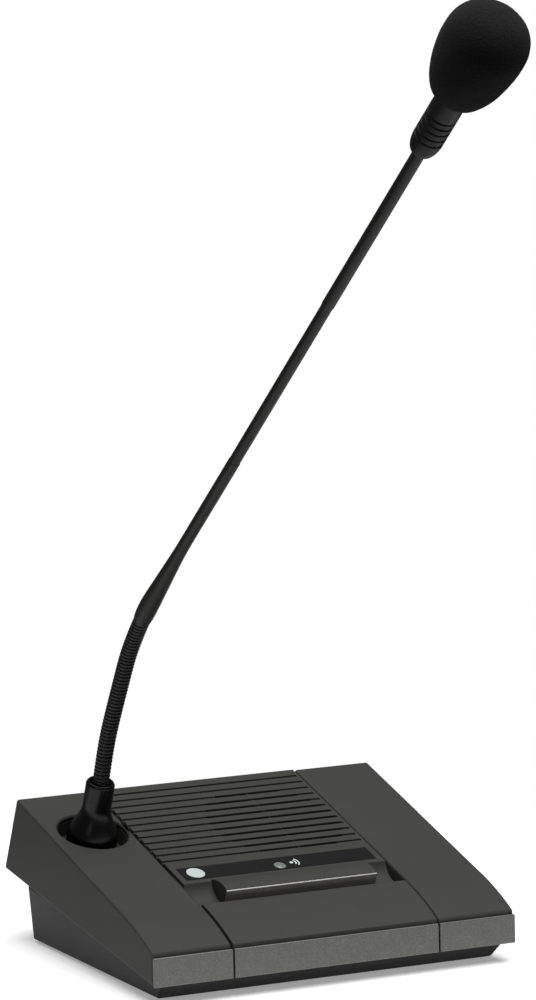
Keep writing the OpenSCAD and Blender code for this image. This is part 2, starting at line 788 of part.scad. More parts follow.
module talk_switches() color("#202020") on_panel()
    for (side = [-1, 1]) translate([bar_x + side * switch_x, switch_v, -button_w]) difference() {
        translate([-switch_s / 2, -switch_s / 2, 0]) cube([switch_s, switch_s, switch_h]);
        translate([0, 0, switch_h - 2])
            cylinder(r = plunger_r + 0.1, h = 2 + over, $fn = fn_small);
    }

module switch_plungers() color("#c8c8c0") on_panel()
    for (side = [-1, 1])
        translate([bar_x + side * switch_x, switch_v, -button_w + switch_h - 0.9])
            cylinder(r = plunger_r, h = plunger_h + 0.9, $fn = fn_small);

module button_board() color("#1f4a2c") on_panel() difference() {
    translate([-panel_x + 3, bar_front - 1, -button_w - board_t])
        cube([2 * panel_x - 6, label_back - bar_front + 1, board_t]);
    for (p = button_posts) translate([p[0], p[1], -button_w - 5])
        cylinder(r = small_r + 0.2, h = 10, $fn = fn_small);
}

module small_screw(reach) {
    translate([0, 0, -small_head_h]) cylinder(r = small_head_r, h = small_head_h, $fn = fn_small);
    translate([0, 0, -0.1]) cylinder(r = small_r, h = reach + 0.1, $fn = fn_small);
}

module button_board_screws() color("silver") on_panel()
    for (p = button_posts) translate([p[0], p[1], -button_w - board_t]) small_screw(board_t + 6);

// ---- loudspeaker ----

module on_speaker() {
    on_panel() translate([spk_x, spk_v, -wall]) children();
}

module speaker_gasket() color("#2a2a2a") on_speaker() translate([0, 0, -gasket_t + lay / 2])
    rotate_extrude($fn = fn_mid) translate([spk_in_r + 0.5, 0])
        square([spk_r - spk_in_r - 0.5, gasket_t - lay]);

basket_t = 0.9;
basket_foot = gasket_t + spk_flange_t + spk_depth;

module speaker_basket() color("#3c3c3c") on_speaker() difference() {
    rotate_extrude($fn = fn_mid) polygon([
        [spk_in_r, -gasket_t], [spk_r, -gasket_t], [spk_r, -gasket_t - spk_flange_t],
        [spk_in_r + basket_t, -gasket_t - spk_flange_t],
        [magnet_r + basket_t, -basket_foot + basket_t], [magnet_r + basket_t, -basket_foot],
        [5, -basket_foot], [5, -basket_foot + basket_t],
        [magnet_r, -basket_foot + basket_t], [spk_in_r, -gasket_t - spk_flange_t + 0.3]]);
    // windows between the basket's legs
    for (a = [0 : 60 : 300]) rotate(a)
        translate([magnet_r - 1, -3.5, -basket_foot + basket_t + 1])
            cube([12, 7, spk_depth - 3.5]);
}

module speaker_cone() color("#151515") on_speaker() rotate_extrude($fn = fn_mid)
    polygon([
        [spk_in_r - lay, -gasket_t - 0.9], [spk_in_r - 2.6, -gasket_t - 0.1],
        [spk_in_r - 4, -gasket_t - 1.4], [7, -gasket_t - 7.4], [3.6, -gasket_t - 4.6],
        [0, -gasket_t - 3.8], [0, -gasket_t - 4.4], [3.5, -gasket_t - 5.2],
        [6.2, -gasket_t - 7.4], [6.2, -basket_foot + 0.4 + basket_t],
        [7, -basket_foot + 0.4 + basket_t], [7, -gasket_t - 8.2],
        [spk_in_r - 3.6, -gasket_t - 2.1], [spk_in_r - 2.6, -gasket_t - 0.9],
        [spk_in_r - 0.9, -gasket_t - 1.2], [spk_in_r - lay, -gasket_t - 1.2]]);

module speaker_magnet() color("#707070") on_speaker()
    translate([0, 0, -basket_foot - magnet_h - lay]) {
        cylinder(r = magnet_r, h = magnet_h, $fn = fn_mid);
        cylinder(r = 4.4, h = magnet_h + 3, $fn = fn_small);
    }

module speaker_screws() color("silver") on_panel()
    for (p = spk_posts) translate([p[0], p[1], -clamp_w - lay]) {
        translate([0, 0, -small_head_h]) cylinder(r = 3.6, h = small_head_h, $fn = fn_small);
        translate([0, 0, -0.1]) cylinder(r = small_r, h = clamp_w - 1.4, $fn = fn_small);
    }

// ---- electronics ----

module main_board() color("#1f4a2c") in_case() difference() {
    translate([-board_w / 2, board_front, low_wall + board_z])
        cube([board_w, board_back - board_front, board_t]);
    for (p = board_post_places) translate([p[0], p[1], 0])
        cylinder(r = small_r + 0.2, h = 20, $fn = fn_small);
    // round the two back case bosses
    for (p = screw_places) translate([p[0], p[1], 0])
        cylinder(r = boss_r + 0.4, h = 20, $fn = fn_small);
}

module main_board_screws() color("silver") in_case()
    for (p = board_post_places) translate([p[0], p[1], board_top])
        mirror([0, 0, 1]) small_screw(board_t + 2.6);

module board_components() color("#26282a") in_case() translate([0, 0, board_top]) {
    // reservoir capacitors
    for (x = [-34, -26]) translate([x, board_front + 14, 0])
        cylinder(r = 3.1, h = 9, $fn = fn_small);
    // processor and amplifier chips
    translate([-12, board_front + 6, 0]) cube([12, 12, 1.4]);
    translate([8, board_front + 6, 0]) cube([9, 7, 1.6]);
    // bus transformer
    translate([24, board_front + 4, 0]) cube([13, 11, 8]);
    // headers for the loudspeaker and the button board
    for (x = [-3, 30]) translate([x, board_front + 20, 0]) cube([7.5, 4, 5]);
}

jack_front = low_back_d - low_back_in;

module bus_sockets() color("#2b2b2b") in_case()
    for (sx = [-1, 1]) translate([sx * jack_x, jack_front, board_top]) difference() {
        translate([-jack_w / 2, -jack_d, 0]) cube([jack_w, jack_d, jack_h]);
        translate([-cavity_w / 2, -cavity_d, 1.6]) cube([cavity_w, cavity_d + over, cavity_h]);
        // slot for the plug's latch
        translate([-3, -cavity_d + 2, 1.6 + cavity_h - over])
            cube([6, cavity_d, 1.8 + over]);
    }

module bus_contacts() color("gold") in_case()
    for (sx = [-1, 1], i = [0 : 7])
        translate([sx * jack_x + (i - 3.5) * 1.02 - 0.15, jack_front - cavity_d + 0.02,
            board_top + 1.65])
            cube([0.3, 6, 0.9]);

// ---- microphone plug and socket ----

cup_floor = 1.6;
socket_wall = 1.8;
socket_r = plug_r + plug_fit + socket_wall;
flange_r = socket_r - 0.6;
flange_t = 2;
flange_top = -4;
socket_top = flange_top - flange_t - lay;
socket_len = plug_len + 3;
stem_top = 12;

module well_cup() color(side_colour) on_neck() rotate_extrude($fn = fn_big) polygon([
    [well_r, -wall - lay], [well_r + cup_wall, -wall - lay],
    [well_r + cup_wall, -well_d - cup_floor], [socket_r + lay, -well_d - cup_floor],
    [socket_r + lay, -well_d], [well_r, -well_d]]);

module mic_socket() color("#262626") on_neck() difference() {
    rotate_extrude($fn = fn_mid) polygon([
        [plug_r + plug_fit, socket_top], [socket_r, socket_top],
        [socket_r, -well_d - cup_floor - lay], [socket_r + 2.5, -well_d - cup_floor - lay],
        [socket_r + 2.5, -well_d - cup_floor - 2], [socket_r, -well_d - cup_floor - 2],
        [socket_r, socket_top - socket_len], [0, socket_top - socket_len],
        [0, socket_top - socket_len + 2], [plug_r + plug_fit, socket_top - socket_len + 2]]);
    // keyway
    translate([-1, plug_r - 1, socket_top - 8]) cube([2, 2, 8 + over]);
}

module mic_plug() color("#303030") on_neck() difference() {
    union() {
        translate([0, 0, flange_top - flange_t - plug_len + 4])
            cylinder(r = plug_r, h = plug_len - 4 + 0.5, $fn = fn_mid);
        translate([0, 0, flange_top - flange_t])
            cylinder(r = flange_r, h = flange_t, $fn = fn_mid);
        translate([0, 0, flange_top - 0.5])
            cylinder(r = stem_r, h = stem_top - flange_top + 0.5, $fn = fn_mid);
    }
    translate([0, 0, flange_top - flange_t - plug_len])
        cylinder(r = 1.6, h = plug_len + 40, $fn = fn_small);
    translate([0, 0, flex_tail]) cylinder(r = core_r + lay, h = 40, $fn = fn_small);
    for (a = pin_angles) rotate(a) translate([3.9, 0, flange_top - flange_t - plug_len])
        cylinder(r = 0.65, h = plug_len - 2, $fn = fn_small);
}

pin_angles = [0, 120, 240];

module plug_pins() color("gold") on_neck()
    for (a = pin_angles) rotate(a)
        translate([3.9, 0, flange_top - flange_t - plug_len + 0.4]) {
            cylinder(r = 0.65, h = 10, $fn = fn_small);
            sphere(r = 0.65, $fn = fn_small);
        }

// Bore of the collar's skirt, round the socket's rim
collar_room = socket_r + 0.6;
skirt_foot = -7;
bell_foot = -2;
bell_n = 10;
// The bell flares in an S-curve, from the sleeve's radius to the skirt's
function bell_z(t) = bell_top + (bell_foot - bell_top) * t;
function bell_radius(t) = collar_r + (skirt_r - collar_r) * t * t * (3 - 2 * t);

module lock_collar() color("#161616") on_neck() rotate_extrude($fn = fn_big) polygon(concat(
    [[stem_r + collar_fit, flange_top + 0.1], [stem_r + collar_fit, stem_top + 0.4],
     [collar_bore, stem_top + 1.2], [collar_bore, collar_top - 0.3],
     [collar_bore + 0.3, collar_top], [collar_r - 0.6, collar_top],
     [collar_r, collar_top - 0.9]],
    [for (i = [0 : bell_n]) [bell_radius(i / bell_n), bell_z(i / bell_n)]],
    [[skirt_r, skirt_foot + 0.4], [skirt_r - 0.4, skirt_foot],
     [collar_room, skirt_foot], [collar_room, flange_top + 0.1]]));

// ---- gooseneck ----

start_s = collar_top + 0.7;
flex_tail = 8;
cone = tan(9);
rim_over = 0.55;
foot_over = 0.65;

// Lean of link i, degrees forward of upright
function link_lean(i) =
    let (t = (i - 0.5) / link_n) lean_start + lean_even * t + lean_late * pow(t, 4);
// Joint i in the (depth, height) plane: joint 1 is over the collar, and link i runs from joint i
function joint_at(i) = i <= 1
    ? [well_v * cos(slope) - start_s * sin(slope),
       panel_h0 + well_v * sin(slope) + start_s * cos(slope)]
    : joint_at(i - 1) + link_l * [-sin(link_lean(i - 1)), cos(link_lean(i - 1))];

// Places the frame of the piece that starts at joint i and leans by lean degrees
module at_joint(i, lean) {
    p = joint_at(i);
    in_case() translate([neck_x, p[0], p[1]]) rotate([lean, 0, 0]) children();
}

module ribs(length) {
    pitch = link_l / rib_n;
    for (k = [0 : rib_n - 1]) if (pitch * (k + 0.5) < length)
        translate([0, 0, pitch * (k + 0.5)]) rotate_extrude($fn = fn_mid) union() {
            translate([flex_r - rib_r, 0]) circle(r = rib_r, $fn = 32);
            // web from the core to the rib's round back
            translate([core_r - 0.2, -0.7 * rib_r])
                square([flex_r - rib_r - core_r + 0.2, 1.4 * rib_r]);
        }
}

// Ball and neck under a piece, centred on its lower joint
module ball_end() {
    sphere(r = ball_r, $fn = fn_mid);
    cylinder(r = 1.2, h = 3, $fn = fn_small);
}

// Socket for the next ball, centred on the upper joint at height z
module socket_cut(z) {
    translate([0, 0, z]) sphere(r = ball_r + ball_fit, $fn = fn_mid);
}

module flex_link(i) color("#1a1a18") at_joint(i, link_lean(i)) difference() {
    union() {
        ball_end();
        rotate_extrude($fn = fn_mid) polygon([
            [0, foot_over], [core_r, foot_over + core_r * cone],
            [core_r, link_l + rim_over - core_r * cone], [0, link_l + rim_over]]);
        ribs(link_l);
    }
    socket_cut(link_l);
    translate([0, 0, -ball_r - over]) cylinder(r = duct_r, h = link_l + 4, $fn = fn_small);
}

module flex_base() color("#1a1a18") on_neck() difference() {
    union() {
        rotate_extrude($fn = fn_mid) polygon([
            [0, flex_tail + 0.1], [core_r, flex_tail + 0.1],
            [core_r, start_s + rim_over - core_r * cone], [0, start_s + rim_over]]);
        translate([0, 0, start_s - link_l]) ribs(link_l);
    }
    socket_cut(start_s);
    translate([0, 0, flex_tail - over]) cylinder(r = duct_r, h = 30, $fn = fn_small);
}

// ---- rod ----

module on_rod() {
    at_joint(link_n + 1, rod_lean) children();
}

bulge_low = 6;
bulge_high = 12;
taper_end = 45;
rod_start = 30;

module transition_sleeve() color("#1d1d1b") on_rod() difference() {
    union() {
        ball_end();
        rotate_extrude($fn = fn_mid) polygon([
            [0, foot_over], [core_r, foot_over + core_r * cone],
            [flex_r, foot_over + flex_r * cone], [sleeve_r - 0.12, 3.4],
            [sleeve_r, bulge_low], [sleeve_r, bulge_high],
            [sleeve_slim + 0.25, taper_end - 6], [sleeve_slim, taper_end],
            [sleeve_slim, sleeve_len - 0.3], [sleeve_slim - 0.15, sleeve_len],
            [0, sleeve_len]]);
    }
    translate([0, 0, -ball_r - over]) cylinder(r = duct_r, h = 40, $fn = fn_small);
    translate([0, 0, rod_start]) cylinder(r = rod_r, h = sleeve_len, $fn = fn_mid);
}

module rod_tube() color("#282824") on_rod() difference() {
    translate([0, 0, rod_start]) cylinder(r = rod_r, h = rod_len + 6 - rod_start, $fn = fn_mid);
    translate([0, 0, rod_start - over]) cylinder(r = rod_bore, h = rod_len + 20, $fn = fn_mid);
}

module upper_sleeve() color("#20201e") on_rod() translate([0, 0, rod_len - upper_len])
    rotate_extrude($fn = fn_mid) polygon([
        [rod_r, 0], [upper_r - 0.1, 0], [upper_r, 0.3], [upper_r, upper_len - 0.05],
        [rod_r, upper_len - 0.05]]);

module signal_lead() color("#a03028") on_rod()
    translate([0, 0, rod_start + 4])
        cylinder(r = lead_r, h = rod_len + boot_len - rod_start - 10, $fn = fn_small);

// ---- head ----

module on_head() {
    on_rod() translate([0, 0, rod_len]) children();
}

tail_r = 2.9;
boot_seam = 0.4;
groove_cut = 0.35;
capsule_z = boot_len + barrel_len + 1;

// Radius of the boot's rounded tail at height z: a quarter of an ellipse over the tail's end
function tail_radius(t) = tail_r + (head_r - tail_r) * sqrt(1 - (1 - t) * (1 - t));

module head_boot() color("#1b1b1a") on_head() difference() {
    rotate_extrude($fn = fn_mid) polygon(concat(
        [[rod_r, 0]],
        [for (i = [0 : 10]) [tail_radius(i / 10), tail_len * i / 10]],
        [[head_r, boot_len - boot_seam], [head_r - head_wall - 0.1, boot_len - boot_seam],
         [head_r - head_wall - 0.1, boot_len - 4], [rod_r, boot_len - 12]]));
    for (k = [0 : boot_grooves - 1])
        translate([0, 0, boot_len - boot_pitch * (k + 1)]) rotate_extrude($fn = fn_mid)
            translate([head_r, 0]) circle(r = groove_cut, $fn = 24);
}

module head_barrel() color("#2a2a28") on_head() rotate_extrude($fn = fn_mid) polygon([
    [head_r, boot_len], [head_r, boot_len + barrel_len],
    [head_r - head_wall, boot_len + barrel_len], [head_r - head_wall, boot_len + 2],
    [head_r - head_wall - 1, boot_len + 1], [head_r - head_wall - 1, boot_len - 3.8],
    [head_r - head_wall - 0.15, boot_len - 3.8], [head_r - head_wall - 0.15, boot_len]]);

module capsule() color("#8a8a86") on_head() translate([0, 0, capsule_z]) difference() {
    cylinder(r = capsule_r, h = capsule_len, $fn = fn_mid);
    for (a = [0 : 60 : 300]) rotate(a) translate([2.4, 0, capsule_len - 0.8])
        cylinder(r = 0.5, h = 2, $fn = 24);
}

module capsule_ring() color("#303030") on_head() translate([0, 0, capsule_z + 0.5]) difference() {
    cylinder(r = head_r - head_wall - lay, h = capsule_len - 2, $fn = fn_mid);
    translate([0, 0, -over]) cylinder(r = capsule_r + lay, h = 20, $fn = fn_mid);
}

module cap_outline(d) {
    square([head_r - d, cap_len - head_r]);
    intersection() {
        translate([0, cap_len - head_r]) circle(r = head_r - d, $fn = fn_big);
        square([head_r, cap_len]);
    }
}

module capsule_grille() color("#1c1c1c") on_head()
    translate([0, 0, boot_len + barrel_len + lay]) difference() {
        rotate_extrude($fn = fn_mid) difference() {
            cap_outline(0);
            cap_outline(head_wall);
        }
        // sound ports
        for (a = [0 : 45 : 315]) rotate(a) translate([head_r - 2, 0, 5.2]) rotate([0, 90, 0])
            cylinder(r = 1.1, h = 4, $fn = 24);
        for (a = [0 : 60 : 300]) rotate(a) translate([2.6, 0, cap_len - 3])
            cylinder(r = 0.7, h = 4, $fn = 24);
    }

foam_bore = head_r + foam_fit;
foam_wide = boot_len + foam_gap + foam_rear;
foam_lip = 1.2;
foam_n = 14;
// The rear of the egg is part of a longer ellipse, cut where it meets the barrel
foam_long = foam_rear * 1.22;
// The nose is a little fuller than an ellipse
function full(c) = pow(max(0, c), 2 / 2.3);
function foam_back_r(t) =
    let (z = foam_rear * (1 - t)) foam_r * sqrt(1 - z * z / (foam_long * foam_long));

module windshield() color("#161616") on_head() difference() {
    rotate_extrude($fn = fn_mid) polygon(concat(
        [[0, foam_wide - foam_rear], [foam_back_r(0) - foam_lip, foam_wide - foam_rear]],
        [for (i = [0 : foam_n]) let (t = 0.03 + 0.97 * i / foam_n)
            [foam_back_r(t), foam_wide - foam_rear * (1 - t)]],
        [for (i = [1 : foam_n]) let (a = 90 * i / foam_n)
            [foam_r * full(cos(a)), foam_wide + foam_nose * full(sin(a))]]));
    translate([0, 0, foam_wide - foam_rear - over])
        cylinder(r = foam_bore, h = bore_top - (foam_wide - foam_rear) + over, $fn = fn_mid);
    translate([0, 0, bore_top]) sphere(r = foam_bore, $fn = fn_mid);
}
bore_top = boot_len + barrel_len + cap_len - head_r + 0.2;

bottom_case();
non_slip_mat();
ballast_plate();
ballast_screws();
case_screws();
left_cheek();
centre_panel();
right_cheek();
left_front_trim();
centre_front_trim();
right_front_trim();
label_window();
badge_disc();
status_lens();
led_emitter();
talk_bar();
talk_bar_trim();
talk_bar_pins();
talk_switches();
switch_plungers();
button_board();
button_board_screws();
speaker_gasket();
speaker_basket();
speaker_cone();
speaker_magnet();
speaker_screws();
main_board();
main_board_screws();
board_components();
bus_sockets();
bus_contacts();
well_cup();
mic_socket();
mic_plug();
plug_pins();
lock_collar();
flex_base();
for (i = [1 : 12])
    flex_link(i);
transition_sleeve();
rod_tube();
upper_sleeve();
signal_lead();
head_boot();
head_barrel();
capsule();
capsule_ring();
capsule_grille();
windshield();
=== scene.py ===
"""Looks of the gooseneck podium microphone: its pieces, finishes, studio light and camera.

Every piece is in metres in the row frame: X to the talker's right, Y away from the talker, Z up, with
the origin in the middle of the mat's underside. Sizes in the classes are in millimetres, measured in
the case frame, the panel frame (across, up the slope, out of it) or along the neck.
"""
from __future__ import annotations

import json
import logging
import math
from dataclasses import dataclass, field
from enum import Enum

import bmesh
import bpy
import numpy as np
from mathutils import Matrix, Vector


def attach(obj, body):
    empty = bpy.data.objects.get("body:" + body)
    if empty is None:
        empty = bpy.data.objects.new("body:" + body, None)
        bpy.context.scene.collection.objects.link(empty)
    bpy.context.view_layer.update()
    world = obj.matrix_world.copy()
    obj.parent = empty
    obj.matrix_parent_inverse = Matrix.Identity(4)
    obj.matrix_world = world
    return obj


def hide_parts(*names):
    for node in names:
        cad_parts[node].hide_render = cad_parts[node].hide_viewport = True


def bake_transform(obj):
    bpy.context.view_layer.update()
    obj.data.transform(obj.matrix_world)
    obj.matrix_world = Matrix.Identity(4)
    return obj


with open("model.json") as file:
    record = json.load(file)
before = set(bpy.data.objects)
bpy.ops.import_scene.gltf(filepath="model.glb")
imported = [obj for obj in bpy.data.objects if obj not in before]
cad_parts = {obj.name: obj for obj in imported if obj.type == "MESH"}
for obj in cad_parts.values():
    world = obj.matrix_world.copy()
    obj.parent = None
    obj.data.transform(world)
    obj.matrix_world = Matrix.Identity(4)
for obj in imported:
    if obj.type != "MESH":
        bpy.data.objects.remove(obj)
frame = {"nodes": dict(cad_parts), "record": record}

LOG = logging.getLogger("microphone")
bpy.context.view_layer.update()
MM = 0.001


# ---------------------------------------------------------------- shader building


class Signal:
    """A node's output socket with arithmetic: an expression on signals adds Math nodes."""

    def __init__(self, graph: "Graph", socket: bpy.types.NodeSocket) -> None:
        """Wraps one output socket of a graph."""
        self.graph = graph
        self.socket = socket

    def _math(self, operation: str, a: "Signal | float", b: "Signal | float") -> "Signal":
        """One Math node of the two values."""
        return self.graph.add("ShaderNodeMath", {"operation": operation}, {0: a, 1: b})

    def __add__(self, other: "Signal | float") -> "Signal":
        """self + other"""
        return self._math("ADD", self, other)

    def __radd__(self, other: float) -> "Signal":
        """other + self"""
        return self._math("ADD", other, self)

    def __sub__(self, other: "Signal | float") -> "Signal":
        """self - other"""
        return self._math("SUBTRACT", self, other)

    def __rsub__(self, other: float) -> "Signal":
        """other - self"""
        return self._math("SUBTRACT", other, self)

    def __mul__(self, other: "Signal | float") -> "Signal":
        """self * other"""
        return self._math("MULTIPLY", self, other)

    def __rmul__(self, other: float) -> "Signal":
        """other * self"""
        return self._math("MULTIPLY", other, self)

    def __truediv__(self, other: "Signal | float") -> "Signal":
        """self / other"""
        return self._math("DIVIDE", self, other)

    def __pow__(self, other: float) -> "Signal":
        """self ** other"""
        return self._math("POWER", self, other)

    def clamp(self, low: float, high: float) -> "Signal":
        """The value held between low and high."""
        return self._math("MINIMUM", self._math("MAXIMUM", self, low), high)

    def step(self, low: float, high: float) -> "Signal":
        """0 below low, 1 above high, and a straight ramp between."""
        return ((self - low) / (high - low)).clamp(0.0, 1.0)


class Graph:
    """One material's nodes, with a Principled shader at the end."""

    def __init__(self, name: str) -> None:
        """Starts a new node material.

        Args:
            name: the material's name.
        """
        self.material = bpy.data.materials.new(name)
        self.material.use_nodes = True
        self.tree = self.material.node_tree
        self.tree.nodes.clear()
        self.output = self.tree.nodes.new("ShaderNodeOutputMaterial")
        self.shader = self.tree.nodes.new("ShaderNodeBsdfPrincipled")
        self.tree.links.new(self.shader.outputs[0], self.output.inputs[0])
        coordinates = self.tree.nodes.new("ShaderNodeTexCoord")
        self.place = Signal(self, coordinates.outputs["Object"])

    def _feed(self, socket: bpy.types.NodeSocket, value: object) -> None:
        """Links a signal to a socket, or sets a plain value on it."""
        if isinstance(value, Signal):
            self.tree.links.new(value.socket, socket)
        elif isinstance(value, tuple) and len(value) == 3 and socket.type == "RGBA":
            socket.default_value = (*value, 1.0)
        else:
            socket.default_value = value

    def add(self, kind: str, settings: dict | None = None, inputs: dict | None = None,
            output: int | str = 0) -> Signal:
        """Any node.

        Args:
            kind: the node's type.
            settings: its settings, set first; "stops" are a ramp's stops.
            inputs: values or signals for its sockets, by name or number.
            output: which output socket to hand on.

        Returns:
            The output as a signal.
        """
        node = self.tree.nodes.new(kind)
        for key, value in (settings or {}).items():
            if key == "stops":
                ramp = node.color_ramp
                while len(ramp.elements) < len(value):
                    ramp.elements.new(0.5)
                for element, (place, colour) in zip(ramp.elements, value):
                    element.position = place
                    element.color = (*colour, 1.0)
            else:
                setattr(node, key, value)
        for key, value in (inputs or {}).items():
            self._feed(node.inputs[key], value)
        return Signal(self, node.outputs[output])

    def noise(self, size_mm: float, detail: float = 2.0, roughness: float = 0.5,
              shift: float = 0.0) -> Signal:
        """Noise whose blobs are about size_mm across, from 0 to 1."""
        where = self.add("ShaderNodeMapping", {"vector_type": "POINT"},
                         {"Vector": self.place, "Location": (shift, shift * 0.7, shift * 1.3)})
        return self.add("ShaderNodeTexNoise", {"noise_dimensions": "3D"},
                        {"Vector": where, "Scale": 1.0 / (size_mm * MM), "Detail": detail,
                         "Roughness": roughness})

    def cells(self, size_mm: float, feature: str = "F1", output: str = "Distance",
              jitter: float = 1.0) -> Signal:
        """Voronoi cells about size_mm across."""
        return self.add("ShaderNodeTexVoronoi", {"voronoi_dimensions": "3D", "feature": feature},
                        {"Vector": self.place, "Scale": 1.0 / (size_mm * MM),
                         "Randomness": jitter}, output)

    def stretched(self, size_mm: tuple[float, float, float], detail: float = 2.0) -> Signal:
        """Noise drawn out to a different size along each axis."""
        where = self.add("ShaderNodeMapping", {"vector_type": "POINT"},
                         {"Vector": self.place,
                          "Scale": tuple(1.0 / (s * MM) for s in size_mm)})
        return self.add("ShaderNodeTexNoise", {"noise_dimensions": "3D"},
                        {"Vector": where, "Scale": 1.0, "Detail": detail})

    def mix(self, mask: "Signal | float", a: "Signal | tuple", b: "Signal | tuple") -> Signal:
        """Colour a where mask is 0, and b where it is 1."""
        return self.add("ShaderNodeMix", {"data_type": "RGBA"},
                        {0: mask, 6: self._colour(a), 7: self._colour(b)}, 2)

    @staticmethod
    def _colour(value: "Signal | tuple") -> "Signal | tuple":
        """A colour with its alpha, or the signal itself."""
        return value if isinstance(value, Signal) else (*value, 1.0)

    def bump(self, height: Signal, depth_mm: float, strength: float = 1.0) -> Signal:
        """A bump of the height from 0 to 1, depth_mm deep."""
        return self.add("ShaderNodeBump", {},
                        {"Height": height, "Distance": depth_mm * MM, "Strength": strength})

    def finish(self, **sockets: object) -> bpy.types.Material:
        """Sets the shader's sockets, with _ for a space in a name.

        Returns:
            The finished material.
        """
        for key, value in sockets.items():
            self._feed(self.shader.inputs[key.replace("_", " ")], value)
        return self.material


def from_srgb(r: float, g: float, b: float) -> tuple[float, float, float]:
    """A screen colour from 0 to 255 as linear light: the usual sRGB curve."""
    return tuple(v / 3294.6 if v <= 10.3 else ((v / 255 + 0.055) / 1.055) ** 2.4
                 for v in (r, g, b))


# ---------------------------------------------------------------- finishes


@dataclass(frozen=True)
class MouldedPlastic:
    """Moulded plastic with a fine spark-eroded grain, slight mottling and a little dust."""

    name: str
    colour: tuple[float, float, float]
    roughness: float = 0.5
    grain_mm: float = 0.28
    depth_mm: float = 0.012
    mottle: float = 0.1
    specular: float = 0.5

    def build(self) -> bpy.types.Material:
        """The finished material."""
        g = Graph(self.name)
        grain = g.noise(self.grain_mm, 3.0, 0.6)
        broad = g.noise(18.0, 3.0, 0.55, 0.013)
        fine = g.noise(1.6, 2.0, 0.5, 0.021)
        shade = broad * 0.65 + fine * 0.35
        pale = tuple(c * (1 + self.mottle) + 0.001 for c in self.colour)
        deep = tuple(c * (1 - self.mottle) for c in self.colour)
        speck = g.noise(0.45, 1.0, 0.4, 0.05).step(0.66, 0.74)
        colour = g.mix(shade.step(0.3, 0.7), deep, pale)
        colour = g.mix(speck * 0.25, colour, tuple(c * 1.5 + 0.004 for c in self.colour))
        rough = self.roughness + (grain - 0.5) * 0.12 + (broad - 0.5) * 0.1
        return g.finish(Base_Color=colour, Roughness=rough.clamp(0.05, 1.0),
                        Specular_IOR_Level=self.specular,
                        Normal=g.bump(grain * 0.7 + fine * 0.3, self.depth_mm))


@dataclass(frozen=True)
class MetallicPaint:
    """Metallic paint: a warm grey ground with bright flakes turned every way."""

    name: str
    colour: tuple[float, float, float]
    flake: tuple[float, float, float]
    flake_mm: float = 0.16
    roughness: float = 0.42
    metal: float = 0.7

    def build(self) -> bpy.types.Material:
        """The finished material."""
        g = Graph(self.name)
        cell = g.cells(self.flake_mm, "F1", "Color")
        level = g.add("ShaderNodeSeparateColor", {"mode": "RGB"}, {0: cell})
        cloud = g.noise(5.0, 3.0, 0.6)
        bright = (level.step(0.55, 1.0) ** 2.0) * (0.25 + cloud * 0.5)
        colour = g.mix(bright.clamp(0.0, 1.0), self.colour, self.flake)
        rough = self.roughness + (level - 0.5) * 0.16
        return g.finish(Base_Color=colour, Metallic=self.metal,
                        Roughness=rough.clamp(0.1, 1.0),
                        Normal=g.bump(level * 0.6 + g.noise(0.5, 2.0) * 0.4, 0.004))


@dataclass(frozen=True)
class Lacquer:
    """Gloss or satin lacquer with orange peel and fine handling marks."""

    name: str
    colour: tuple[float, float, float]
    roughness: float = 0.25
    peel_mm: float = 1.4
    peel_depth_mm: float = 0.008
    metal: float = 0.0
    coat: float = 0.0
    specular: float = 0.25

    def build(self) -> bpy.types.Material:
        """The finished material."""
        g = Graph(self.name)
        peel = g.noise(self.peel_mm, 1.5, 0.4)
        haze = g.noise(9.0, 4.0, 0.6, 0.03)
        fine = g.noise(0.22, 2.0, 0.5, 0.07)
        marks = g.stretched((0.25, 4.0, 4.0), 2.0).step(0.58, 0.72)
        colour = g.mix(haze.step(0.35, 0.75) * 0.5, self.colour,
                       tuple(c * 1.35 + 0.0015 for c in self.colour))
        rough = self.roughness + (haze - 0.5) * 0.12 + marks * 0.06 + (fine - 0.5) * 0.05
        return g.finish(Base_Color=colour, Metallic=self.metal,
                        Roughness=rough.clamp(0.05, 1.0), Coat_Weight=self.coat,
                        Coat_Roughness=0.12, Specular_IOR_Level=self.specular,
                        Normal=g.bump(peel * 0.75 + fine * 0.25, self.peel_depth_mm))


@dataclass(frozen=True)
class OpenCellFoam:
    """Black open-cell foam: pits between thin cell walls, with painted shade that leaves the pits
    darker than the paler walls.
    """

    name: str
    colour: tuple[float, float, float]
    # wall: the paler colour of the cell walls; the pits keep colour, and their darkness is painted
    # shade
    wall: tuple[float, float, float]
    pore_mm: float = 0.55

    def build(self) -> bpy.types.Material:
        """The finished material."""
        g = Graph(self.name)
        pore = g.cells(self.pore_mm, "F1").step(0.08, 0.62)
        small = g.cells(self.pore_mm * 0.45, "F1").step(0.1, 0.7)
        fuzz = g.noise(0.35, 3.0, 0.7)
        broad = g.noise(9.0, 3.0, 0.55, 0.02)
        wall = (pore * 0.6 + small * 0.25 + fuzz * 0.3).step(0.3, 0.95)
        # Painted shade: the pits take the dark colour and the raised walls the paler one, with the
        # contrast varied at random by broad.
        colour = g.mix(wall * (0.55 + broad * 0.7), self.colour, self.wall)
        return g.finish(Base_Color=colour, Roughness=0.95, Specular_IOR_Level=0.05,
                        Sheen_Weight=0.03, Sheen_Roughness=0.7,
                        Normal=g.bump(wall, 0.14))


